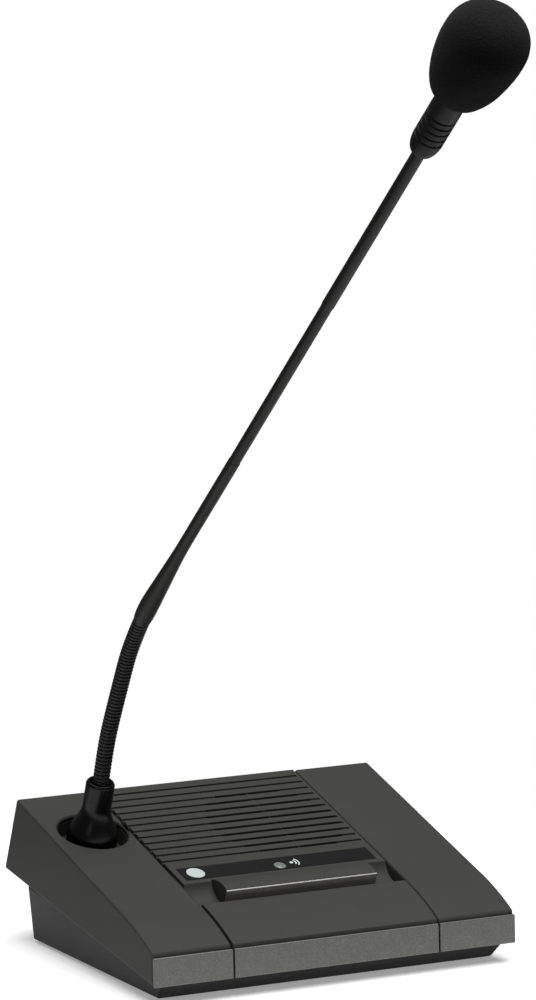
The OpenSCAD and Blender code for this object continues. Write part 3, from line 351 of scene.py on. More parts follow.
@dataclass(frozen=True)
class BrushedMetal:
    """Drawn or brushed metal with fine lines along one axis."""

    name: str
    colour: tuple[float, float, float]
    roughness: float = 0.32
    lines_mm: tuple[float, float, float] = (0.12, 6.0, 0.12)

    def build(self) -> bpy.types.Material:
        """The finished material."""
        g = Graph(self.name)
        lines = g.stretched(self.lines_mm, 3.0)
        tarnish = g.noise(5.0, 4.0, 0.6, 0.04)
        colour = g.mix(tarnish.step(0.4, 0.8), self.colour, tuple(c * 0.72 for c in self.colour))
        rough = self.roughness + (lines - 0.5) * 0.2 + (tarnish - 0.5) * 0.14
        return g.finish(Base_Color=colour, Metallic=1.0, Roughness=rough.clamp(0.05, 1.0),
                        Normal=g.bump(lines, 0.006))


@dataclass(frozen=True)
class Film:
    """A smooth dark film with a faint haze, fingerprints and a fine satin tooth."""

    name: str
    colour: tuple[float, float, float]
    roughness: float = 0.3
    specular: float = 0.2

    def build(self) -> bpy.types.Material:
        """The finished material."""
        g = Graph(self.name)
        haze = g.noise(14.0, 4.0, 0.6)
        tooth = g.noise(0.16, 2.0, 0.5, 0.02)
        colour = g.mix(haze.step(0.35, 0.8) * 0.6, self.colour,
                       tuple(c * 1.3 + 0.002 for c in self.colour))
        rough = self.roughness + (haze - 0.5) * 0.16 + (tooth - 0.5) * 0.08
        return g.finish(Base_Color=colour, Roughness=rough.clamp(0.05, 1.0),
                        Specular_IOR_Level=self.specular, Normal=g.bump(tooth, 0.003))


@dataclass(frozen=True)
class CircuitBoard:
    """Green solder mask over copper tracks, with bright pads."""

    name: str

    def build(self) -> bpy.types.Material:
        """The finished material."""
        g = Graph(self.name)
        tracks = g.cells(3.2, "DISTANCE_TO_EDGE", "Distance", 0.15).step(0.08, 0.12)
        pads = g.cells(2.6, "F1", "Distance", 0.2).step(0.14, 0.2)
        mask = g.mix(tracks, (0.03, 0.2, 0.07), (0.012, 0.1, 0.035))
        colour = g.mix(pads, (0.6, 0.6, 0.55), mask)
        rough = 0.3 + g.noise(2.0, 2.0) * 0.2
        return g.finish(Base_Color=colour, Roughness=rough, Metallic=(1.0 - pads) * 0.9,
                        Normal=g.bump(tracks, 0.03))


@dataclass(frozen=True)
class FrostedLens:
    """A frosted light pipe: milky, a little glossy, unlit."""

    name: str
    colour: tuple[float, float, float]

    def build(self) -> bpy.types.Material:
        """The finished material."""
        g = Graph(self.name)
        frost = g.noise(0.3, 3.0, 0.6)
        colour = g.mix(frost.step(0.3, 0.7), tuple(c * 0.86 for c in self.colour), self.colour)
        return g.finish(Base_Color=colour, Roughness=(0.22 + frost * 0.16),
                        Subsurface_Weight=0.0, Coat_Weight=0.3, Coat_Roughness=0.1,
                        Normal=g.bump(frost, 0.004))


@dataclass(frozen=True)
class MattRubber:
    """Matt rubber with a fine tooth and a faint bloom."""

    name: str
    colour: tuple[float, float, float]
    roughness: float = 0.72
    tooth_mm: float = 0.3
    specular: float = 0.2

    def build(self) -> bpy.types.Material:
        """The finished material."""
        g = Graph(self.name)
        tooth = g.noise(self.tooth_mm, 3.0, 0.6)
        bloom = g.noise(7.0, 4.0, 0.6, 0.09)
        colour = g.mix(bloom.step(0.4, 0.8) * 0.6, self.colour,
                       tuple(c * 1.5 + 0.002 for c in self.colour))
        rough = self.roughness + (bloom - 0.5) * 0.14 + (tooth - 0.5) * 0.1
        return g.finish(Base_Color=colour, Roughness=rough.clamp(0.05, 1.0),
                        Specular_IOR_Level=self.specular, Normal=g.bump(tooth, 0.012))


FinishSpec = (MouldedPlastic | MetallicPaint | Lacquer | OpenCellFoam | BrushedMetal | Film
              | CircuitBoard | FrostedLens | MattRubber)


class Look(Enum):
    """The finishes of the microphone, one for each kind of surface."""

    UPPER = MouldedPlastic("upper satin plastic", from_srgb(47, 47, 44), 0.6, 0.3, 0.01, 0.05,
                           0.15)
    SIDE = MouldedPlastic("lower moulded plastic", from_srgb(16, 16, 15), 0.55, 0.3, 0.012, 0.1,
                          0.2)
    TRIM = MetallicPaint("metallic band", from_srgb(92, 92, 89), from_srgb(158, 156, 150))
    # The talk bar's front strip: the band's metallic paint made brighter, painted light that lifts
    # the shade of the scoop the strip sits in.
    STRIP_BRIGHTENED_FOR_SHADE = MetallicPaint("metallic strip", from_srgb(128, 127, 124), from_srgb(168, 166, 161))
    LABEL = Film("label film", from_srgb(11, 11, 11), 0.45, 0.11)
    BADGE = Lacquer("badge enamel", from_srgb(166, 173, 173), 0.34, 1.5, 0.003)
    PRINT = Film("white print", from_srgb(186, 192, 190), 0.5)
    LENS = FrostedLens("status lens", from_srgb(104, 109, 106))
    LED = FrostedLens("led body", from_srgb(216, 218, 200))
    COLLAR = Lacquer("collar lacquer", from_srgb(4, 4, 4), 0.26, 2.2, 0.003, specular=0.22)
    CUP = MouldedPlastic("well plastic", from_srgb(44, 44, 42), 0.5, 0.3, 0.01, 0.1, 0.2)
    PLUG = MouldedPlastic("plug plastic", from_srgb(22, 22, 22), 0.4, 0.2, 0.006, 0.1, 0.2)
    FLEX = Lacquer("gooseneck coating", from_srgb(14, 14, 13), 0.4, 0.7, 0.004)
    SLEEVE = MattRubber("shrink sleeve", from_srgb(26, 26, 24), 0.5, 0.4)
    ROD = Lacquer("rod lacquer", from_srgb(27, 27, 25), 0.5, 1.1, 0.004, specular=0.18)
    BOOT = MattRubber("boot rubber", from_srgb(18, 18, 18), 0.5, 0.3, 0.15)
    BARREL = Lacquer("barrel lacquer", from_srgb(22, 22, 21), 0.5, 0.9, 0.004, specular=0.15)
    # pit colour, then the paler wall colour: the darker pits are painted shade
    FOAM = OpenCellFoam("windshield foam", from_srgb(6, 6, 6), from_srgb(15, 15, 15))
    GRILLE = Lacquer("grille cap lacquer", from_srgb(26, 26, 26), 0.4, 0.8, 0.006, 0.4)
    CAPSULE = BrushedMetal("capsule can", (0.5, 0.5, 0.48), 0.3, (4.0, 4.0, 0.1))
    STEEL = BrushedMetal("zinc plate", (0.62, 0.62, 0.62), 0.3, (0.5, 0.5, 0.5))
    BALLAST = BrushedMetal("ballast steel", (0.36, 0.36, 0.37), 0.42, (6.0, 0.2, 0.2))
    MAT = MattRubber("mat rubber", from_srgb(20, 20, 20), 0.85, 0.6)
    BOARD = CircuitBoard("solder mask")
    PARTS = MouldedPlastic("component packages", from_srgb(38, 38, 40), 0.45, 0.15, 0.004)
    SOCKET = MouldedPlastic("socket plastic", from_srgb(30, 30, 30), 0.4, 0.25, 0.008)
    GOLD = BrushedMetal("gold contacts", (0.9, 0.62, 0.24), 0.22, (0.3, 0.3, 0.3))
    GASKET = MattRubber("closed-cell ring", from_srgb(42, 42, 42), 0.9, 0.5)
    BASKET = Lacquer("blackened steel", from_srgb(44, 44, 46), 0.4, 0.6, 0.008, 0.6)
    CONE = MattRubber("doped paper", from_srgb(22, 22, 22), 0.7, 0.4)
    MAGNET = BrushedMetal("magnet plate", (0.4, 0.4, 0.42), 0.38, (0.5, 0.5, 0.5))
    PLUNGER = MouldedPlastic("pale plunger", from_srgb(190, 190, 182), 0.4, 0.2, 0.004)
    LEAD = MattRubber("lead sheath", from_srgb(140, 42, 34), 0.5, 0.2)


class Palette:
    """Builds each finish once and hands it out."""

    def __init__(self) -> None:
        """Starts with nothing built."""
        self._made: dict[Look, bpy.types.Material] = {}

    def get(self, look: Look) -> bpy.types.Material:
        """The look's material, built on first use."""
        if look not in self._made:
            self._made[look] = look.value.build()
        return self._made[look]

    def dress(self, obj: bpy.types.Object, look: Look) -> None:
        """Puts one finish on every slot of an object."""
        material = self.get(look)
        if not obj.material_slots:
            obj.data.materials.append(material)
        for slot in obj.material_slots:
            slot.material = material


# ---------------------------------------------------------------- frames and surfaces


@dataclass(frozen=True)
class Places:
    """The case, panel and neck frames, as in the part's source."""

    case_mid: float = 59.75
    mat_t: float = 1.0
    panel_h0: float = 22.1
    slope_deg: float = 16.6
    neck_x: float = -61.2
    well_v: float = 90.1
    rod_lean: float = 45.6

    def case(self, points: np.ndarray) -> np.ndarray:
        """Points (n, 3) in the case frame, mm, as row-frame points in metres."""
        return (points + np.array([0.0, -self.case_mid, self.mat_t])) * MM

    def panel(self, points: np.ndarray) -> np.ndarray:
        """Points (n, 3) as across, up the slope and out of it, mm, to the row frame.

        The slope turns the (up, out) plane by slope_deg about X, then lifts it by panel_h0.
        """
        a = math.radians(self.slope_deg)
        y = points[:, 1] * math.cos(a) - points[:, 2] * math.sin(a)
        z = points[:, 1] * math.sin(a) + points[:, 2] * math.cos(a) + self.panel_h0
        return self.case(np.stack([points[:, 0], y, z], axis=1))

    def neck(self, points: np.ndarray) -> np.ndarray:
        """Points (n, 3) round the neck's first axis, mm, to the row frame."""
        return self.panel(points + np.array([self.neck_x, self.well_v, 0.0]))


PLACES = Places()


def surface(name: str, points: np.ndarray, wrap: bool, caps: bool = True) -> bpy.types.Object:
    """A mesh over a grid of points.

    Args:
        name: the object's name.
        points: (rows, columns, 3), metres, in the row frame.
        wrap: whether the last column joins the first.
        caps: whether the first and last rows are closed with a fan to their middle.

    Returns:
        The new object, linked to the scene, smooth, with its faces pointing outwards.
    """
    rows, cols = points.shape[:2]
    verts = points.reshape(-1, 3)
    j = np.arange(cols if wrap else cols - 1)
    k = (j + 1) % cols
    i = np.arange(rows - 1)[:, None] * cols
    quads = np.stack([i + j, i + k, i + cols + k, i + cols + j], axis=-1).reshape(-1, 4)
    faces = quads.tolist()
    if caps:
        middle = np.stack([points[0].mean(axis=0), points[-1].mean(axis=0)])
        n = len(verts)
        verts = np.concatenate([verts, middle])
        last = (rows - 1) * cols
        faces += np.stack([k, j, np.full_like(j, n)], axis=1).tolist()
        faces += np.stack([last + j, last + k, np.full_like(j, n + 1)], axis=1).tolist()
    mesh = bpy.data.meshes.new(name)
    mesh.from_pydata(verts.tolist(), [], faces)
    tidy = bmesh.new()
    tidy.from_mesh(mesh)
    bmesh.ops.remove_doubles(tidy, verts=tidy.verts, dist=1e-7)
    bmesh.ops.recalc_face_normals(tidy, faces=tidy.faces)
    tidy.to_mesh(mesh)
    tidy.free()
    mesh.polygons.foreach_set("use_smooth", np.ones(len(mesh.polygons), dtype=bool))
    mesh.update()
    obj = bpy.data.objects.new(name, mesh)
    bpy.context.scene.collection.objects.link(obj)
    return obj


def rounded_profile(corners: list[tuple[float, float, float]], steps: int = 5) -> np.ndarray:
    """A profile whose corners are rounded.

    Each corner (r, z, round) is replaced by a quadratic curve between the points that lie round
    away from it along its two sides, at most 0.45 of a side.

    Args:
        corners: radius, height and rounding of each corner, mm.
        steps: points on each rounded corner.

    Returns:
        (n, 2) points.
    """
    raw = np.array(corners, dtype=float)
    out = [raw[0, :2]]
    t = np.linspace(0.0, 1.0, steps)[:, None]
    for a, b, c in zip(raw[:-2], raw[1:-1], raw[2:]):
        p, q = a[:2] - b[:2], c[:2] - b[:2]
        lp, lq = np.hypot(*p), np.hypot(*q)
        d = min(b[2], 0.45 * lp, 0.45 * lq)
        if d <= 1e-6:
            out.append(b[:2])
            continue
        start, end = b[:2] + p / lp * d, b[:2] + q / lq * d
        out.extend(((1 - t) ** 2 * start + 2 * t * (1 - t) * b[:2] + t ** 2 * end))
    out.append(raw[-1, :2])
    return np.array(out)


def revolve(profile: np.ndarray, sides: int = 96) -> np.ndarray:
    """A profile (n, 2) of radius and height turned about Z: (n, sides, 3) points, mm.

    x = r cos t, y = r sin t, z = height, with t evenly round the circle.
    """
    t = np.arange(sides) / sides * 2 * np.pi
    r, z = profile[:, :1], profile[:, 1:]
    return np.stack([r * np.cos(t), r * np.sin(t), np.broadcast_to(z, (len(r), sides))], axis=-1)


def placed(points: np.ndarray, move: "callable") -> np.ndarray:
    """A grid of points carried through one of the frames."""
    return move(points.reshape(-1, 3)).reshape(points.shape)


class Centreline:
    """The neck's centreline from the well to the head, in the (depth, height) plane.

    The bending part is a natural cubic curve through measured places; past them the line is the
    straight rod's. Lengths run from joint 1 at first_s, in mm.
    """

    bend = np.array([
        (86.34, 47.85), (80.03, 69.0), (74.97, 86.17), (69.15, 99.91), (62.82, 113.4),
        (57.39, 124.01), (52.69, 131.07), (47.2, 138.3), (40.7, 145.7), (33.4, 153.2)])
    last_joint = np.array([49.012, 138.306])
    bend_end_s = 128.0

    def __init__(self, places: Places) -> None:
        """Solves the cubic curve and measures lengths along it."""
        self.places = places
        lean = math.radians(places.rod_lean)
        self.rod_dir = np.array([-math.sin(lean), math.cos(lean)])
        tail = self.last_joint + np.outer([41.5, 80.0, 150.0, 250.0, 380.0], self.rod_dir)
        knots = np.concatenate([self.bend, tail])
        chord = np.concatenate([[0.0], np.cumsum(np.hypot(*np.diff(knots, axis=0).T))])
        self.t = np.linspace(0.0, chord[-1], 6000)
        curve = self._natural(chord, knots, self.t)
        step = np.hypot(*np.diff(curve, axis=0).T)
        self.s = np.concatenate([[0.0], np.cumsum(step)])
        self.curve = curve

    @staticmethod
    def _natural(x: np.ndarray, y: np.ndarray, at: np.ndarray) -> np.ndarray:
        """The natural cubic spline through (x, y): second derivatives from one linear system."""
        n = len(x)
        h = np.diff(x)
        system = np.eye(n)
        right = np.zeros_like(y)
        for k in range(1, n - 1):
            system[k, k - 1:k + 2] = h[k - 1], 2 * (h[k - 1] + h[k]), h[k]
            right[k] = 6 * ((y[k + 1] - y[k]) / h[k] - (y[k] - y[k - 1]) / h[k - 1])
        m = np.linalg.solve(system, right)
        k = np.clip(np.searchsorted(x, at) - 1, 0, n - 2)
        a, b = (x[k + 1] - at)[:, None], (at - x[k])[:, None]
        hk = h[k][:, None]
        return (m[k] * a ** 3 + m[k + 1] * b ** 3) / (6 * hk) + \
            (y[k] / hk - m[k] * hk / 6) * a + (y[k + 1] / hk - m[k + 1] * hk / 6) * b

    def at(self, s: np.ndarray) -> tuple[np.ndarray, np.ndarray]:
        """Places and unit tangents at lengths s, each (n, 2)."""
        p = np.stack([np.interp(s, self.s, self.curve[:, c]) for c in (0, 1)], axis=1)
        q = np.stack([np.interp(s + 0.25, self.s, self.curve[:, c]) for c in (0, 1)], axis=1)
        o = np.stack([np.interp(s - 0.25, self.s, self.curve[:, c]) for c in (0, 1)], axis=1)
        d = q - o
        return p, d / np.hypot(*d.T)[:, None]

    def nearest(self, point: np.ndarray) -> float:
        """The length at which the curve is closest to a (depth, height) point."""
        return float(self.s[np.argmin(np.hypot(*(self.curve - point).T))])

    def sweep(self, s: np.ndarray, radius: np.ndarray, sides: int) -> np.ndarray:
        """Rings of the given radii round the curve: (n, sides, 3), row frame, metres.

        Each ring's point is centre + r (cos t X + sin t N), with N the in-plane normal.
        """
        p, d = self.at(s)
        t = np.arange(sides) / sides * 2 * np.pi
        x = self.places.neck_x + radius[:, None] * np.cos(t)
        side = radius[:, None] * np.sin(t)
        y = p[:, :1] + side * d[:, 1:]
        z = p[:, 1:] - side * d[:, :1]
        return placed(np.stack([x, y, z], axis=-1), self.places.case)


class NodeCopy:
    """A CAD node's shape taken over as a piece, with its edges rounded."""

    @staticmethod
    def make(node: str, name: str, round_mm: float, angle_deg: float = 32.0,
             segments: int = 3) -> bpy.types.Object:
        """A merged copy of a node with bevelled edges.

        Args:
            node: the CAD node's name.
            name: the new piece's name.
            round_mm: width of the rounding.
            angle_deg: edges sharper than this are rounded.
            segments: steps across the rounding.

        Returns:
            The new object, linked to the scene with its bevel and weighted-normal modifiers.
        """
        source = frame["nodes"][node]
        mesh = source.data.copy()
        mesh.name = name
        work = bmesh.new()
        work.from_mesh(mesh)
        bmesh.ops.remove_doubles(work, verts=work.verts, dist=2e-6)
        bmesh.ops.dissolve_limit(work, angle_limit=math.radians(1.0), verts=work.verts,
                                 edges=work.edges, delimit={"NORMAL"})
        work.to_mesh(mesh)
        work.free()
        obj = bpy.data.objects.new(name, mesh)
        bpy.context.scene.collection.objects.link(obj)
        bevel = obj.modifiers.new("rounded edges", "BEVEL")
        bevel.width = round_mm * MM
        bevel.segments = segments
        bevel.limit_method = "ANGLE"
        bevel.angle_limit = math.radians(angle_deg)
        bevel.use_clamp_overlap = False
        bevel.harden_normals = False
        mesh.polygons.foreach_set("use_smooth", np.ones(len(mesh.polygons), dtype=bool))
        weight = obj.modifiers.new("flat faces stay flat", "WEIGHTED_NORMAL")
        weight.keep_sharp = False
        weight.weight = 60
        return obj


BODY_OF = {node: body for body, nodes in frame["record"]["behaviour"]["bodies"].items()
           for node in nodes}


def settle(obj: bpy.types.Object, body: str, *nodes: str) -> None:
    """Makes a piece ride on a body and stand for its CAD nodes."""
    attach(obj, body)
    if nodes:
        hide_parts(*nodes)
    LOG.info("%s rides on %s, stands for %s", obj.name, body, ", ".join(nodes) or "nothing")


# ---------------------------------------------------------------- sub-assemblies


@dataclass
class CaseMouldings:
    """The cheeks, centre panel, lower case, front trims and talk bar, with rounded edges."""

    palette: Palette
    rounding: dict[str, tuple[float, Look]] = field(default_factory=lambda: {
        "left_cheek": (1.1, Look.UPPER),
        "right_cheek": (1.1, Look.UPPER),
        "centre_panel": (0.22, Look.UPPER),
        "bottom_case": (1.1, Look.SIDE),
        "left_front_trim": (0.4, Look.TRIM),
        "centre_front_trim": (0.4, Look.TRIM),
        "right_front_trim": (0.4, Look.TRIM),
        "talk_bar": (0.25, Look.UPPER),
        # the strip's finish is the band's paint brightened as painted light against the scoop's shade
        "talk_bar_trim": (0.08, Look.STRIP_BRIGHTENED_FOR_SHADE),
        "bus_sockets": (0.2, Look.SOCKET),
        "non_slip_mat": (0.25, Look.MAT),
    })

    def build(self) -> None:
        """Makes and dresses every moulding."""
        for node, (width, look) in self.rounding.items():
            piece = NodeCopy.make(node, f"{node}_moulding", width)
            self.palette.dress(piece, look)
            settle(piece, BODY_OF[node], node)


@dataclass
class LabelStrip:
    """The talk symbol printed on the label window: a dot with two sound waves."""

    palette: Palette
    centre: tuple[float, float] = (7.8, 49.8)
    dot_r: float = 0.75
    waves: tuple[tuple[float, float], ...] = ((1.7, 0.28), (2.9, 0.28))
    rise: float = 0.06

    def _arc(self, name: str, radius: float, half: float, start: float, stop: float,
             steps: int) -> bpy.types.Object:
        """A flat band of an annulus, rise thick.

        Args:
            name: the piece's name.
            radius: radius of the band's middle, mm.
            half: half the band's width, mm.
            start: first angle, degrees.
            stop: last angle, degrees.
            steps: stations along the arc.

        Returns:
            The new piece.
        """
        t = np.radians(np.linspace(start, stop, steps))
        ring = np.array([(-half, -0.02), (half, -0.02), (half, self.rise), (-half, self.rise)])
        r = radius + ring[:, 0]
        pts = np.stack([self.centre[0] + np.cos(t)[:, None] * r,
                        self.centre[1] + np.sin(t)[:, None] * r,
                        np.broadcast_to(ring[:, 1], (steps, 4))], axis=-1)
        return surface(name, placed(pts, PLACES.panel), wrap=True)

    def build(self) -> None:
        """Makes the dot and its waves."""
        profile = np.array([(1e-4, -0.02), (self.dot_r, -0.02), (self.dot_r, self.rise),
                            (1e-4, self.rise)])
        pts = revolve(profile, 32) + np.array([self.centre[0] - 1.6, self.centre[1], 0.0])
        dot = surface("talk_symbol_dot", placed(pts, PLACES.panel), wrap=True)
        pieces = [dot]
        for n, (radius, half) in enumerate(self.waves):
            self.centre = (self.centre[0] - 1.6, self.centre[1])
            pieces.append(self._arc(f"talk_symbol_wave_{n + 1}", radius + 0.2, half, -48, 48, 20))
            self.centre = (self.centre[0] + 1.6, self.centre[1])
        for piece in pieces:
            self.palette.dress(piece, Look.PRINT)
            settle(piece, "base")


@dataclass
class LockCollar:
    """The twist-lock collar: a straight sleeve over a bell that flares into the well."""

    palette: Palette
    sleeve_r: float = 5.7
    skirt_r: float = 10.0
    top: float = 21.9
    bell_top: float = 11.0
    bell_foot: float = -2.0
    skirt_foot: float = -7.0
    room_r: float = 8.6
    room_top: float = -3.9
    bore_r: float = 4.3
    stem_r: float = 4.95

    def build(self) -> None:
        """Revolves the collar's section about the neck's first axis.

        The bell's radius goes from the sleeve's to the skirt's as 3 t squared - 2 t cubed.
        """
        t = np.linspace(0.0, 1.0, 40)
        flare = np.stack([self.sleeve_r + (self.skirt_r - self.sleeve_r) * t * t * (3 - 2 * t),
                          self.bell_top + (self.bell_foot - self.bell_top) * t], axis=1)
        mouth = rounded_profile([
            (self.stem_r, self.room_top, 0), (self.stem_r, 12.4, 0.2),
            (self.bore_r, 13.2, 0.2), (self.bore_r, self.top - 0.3, 0.15),
            (self.bore_r + 0.3, self.top, 0.2), (self.sleeve_r - 0.6, self.top, 0.2),
            (self.sleeve_r, self.top - 0.9, 0.35), (self.sleeve_r, self.bell_top + 0.8, 0)])
        foot = rounded_profile([
            (self.skirt_r, self.bell_foot - 0.4, 0), (self.skirt_r, self.skirt_foot, 0.5),
            (self.room_r, self.skirt_foot, 0.2), (self.room_r, self.room_top, 0.2),
            (self.stem_r, self.room_top, 0)])
        profile = np.concatenate([mouth, flare, foot])
        grid = placed(revolve(profile, 144), PLACES.neck)
        piece = surface("lock_collar_turned", grid, wrap=True, caps=False)
        self.palette.dress(piece, Look.COLLAR)
        settle(piece, "lock_collar", "lock_collar")


@dataclass
class Gooseneck:
    """The ribbed gooseneck as short runs, each bent across one joint, and its taper sleeve."""

    palette: Palette
    line: Centreline
    links: int = 12
    link_l: float = 6.33
    crest_r: float = 3.3
    valley_r: float = 2.55
    ribs_per_link: int = 4
    start_lean: tuple[float, ...] = (16.0, 10.0, 16.0)
    collar_top: float = 21.9

    def joints(self) -> np.ndarray:
        """Places of the joints in the (depth, height) plane, as the part's source has them.

        Link i leans by a + b t + c t to the fourth, with t = (i - 0.5) / links.
        """
        a = math.radians(PLACES.slope_deg)
        s = self.collar_top + 0.7
        first = np.array([PLACES.well_v * math.cos(a) - s * math.sin(a),
                          PLACES.panel_h0 + PLACES.well_v * math.sin(a) + s * math.cos(a)])
        t = (np.arange(1, self.links + 1) - 0.5) / self.links
        base, even, late = self.start_lean
        lean = np.radians(base + even * t + late * t ** 4)
        steps = self.link_l * np.stack([-np.sin(lean), np.cos(lean)], axis=1)
        return np.concatenate([first[None], first + np.cumsum(steps, axis=0)])

    def rib_radius(self, s: np.ndarray, origin: float, pitch: float) -> np.ndarray:
        """Radius of a coiled tube: round backs with narrow valleys, crest every pitch.

        The back is valley + (crest - valley) times the root of 1 - (2 u)^2 over 1.16, with u the
        place across the coil from its crest, as a part of the pitch.
        """
        u = np.mod((s - origin) / pitch, 1.0) - 0.5
        back = np.sqrt(np.clip(1.0 - (2.0 * u / 1.04) ** 2, 0.0, 1.0))
        return self.valley_r + (self.crest_r - self.valley_r) * back

    def build(self) -> None:
        """Makes the base run, a run across each joint, and the taper sleeve."""
        joints = self.joints()
        s_of = np.array([self.line.nearest(p) for p in joints])
        s_of = s_of[0] + (s_of[-1] - s_of[0]) * np.linspace(0.0, 1.0, len(s_of))
        length = s_of[1] - s_of[0]
        pitch = length / self.ribs_per_link
        names = ["base"] + [f"flex_link_{i}" for i in range(1, self.links + 1)] + ["boom"]
        edge = pitch
        spans = [(s_of[0] - 4 * pitch, s_of[0] - edge)]
        spans += [(s - edge, s - edge + length) for s in s_of[:-1]]
        spans += [(s_of[-1] - edge, s_of[-1] + pitch)]
        for k, (low, high) in enumerate(spans):
            s = np.linspace(low, high, int(round((high - low) / pitch * 22)) + 1)
            ring = self.rib_radius(s, s_of[0], pitch)
            grid = self.line.sweep(s, ring, 64)
            piece = surface(f"gooseneck_run_{k}", grid, wrap=True)
            self.palette.dress(piece, Look.FLEX)
            if k == 0:
                settle(piece, "base", "flex_base")
                continue
            nodes = [f"flex_link_{k}"] if k <= self.links else []
            if nodes:
                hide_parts(*nodes)
            centre = s_of[k - 1]
            ends, _ = self.line.at(np.array([centre - 1.0, centre + 1.0]))
            row = PLACES.case(np.stack([np.full(2, PLACES.neck_x), ends[:, 0], ends[:, 1]], axis=1))
            names[k - 1]
            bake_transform(piece)
            LOG.info("%s bends between %s and %s", piece.name, names[k - 1], names[k])
        self.build_sleeve(s_of[-1])

    def build_sleeve(self, s0: float) -> None:
        """The taper sleeve, from just over the last joint to where it hugs the rod.

        Args:
            s0: length along the centreline of the last joint.
        """
        profile = rounded_profile([
            (2.3, 1.3, 0), (2.9, 0.95, 0.2), (3.36, 1.15, 0.35), (3.66, 3.6, 1.5),
            (3.8, 7.5, 2.5), (3.74, 12.5, 5.0), (3.1, 27.0, 9.0), (2.45, 43.0, 6.0),
            (2.36, 52.0, 3.0), (2.36, 102.1, 0.15), (2.24, 102.5, 0.1), (2.0, 102.5, 0)], 7)
        s = s0 + profile[:, 1]
        fine = np.unique(np.concatenate([s, np.linspace(s[1], s[-2], 160)]))
        order = np.concatenate([[0], np.arange(1, len(s))])
        inner = np.interp(fine, s[order], profile[order, 0])
        grid = self.line.sweep(fine, inner, 72)
        piece = surface("taper_sleeve_curved", grid, wrap=True)
        self.palette.dress(piece, Look.SLEEVE)
        settle(piece, "boom", "transition_sleeve")


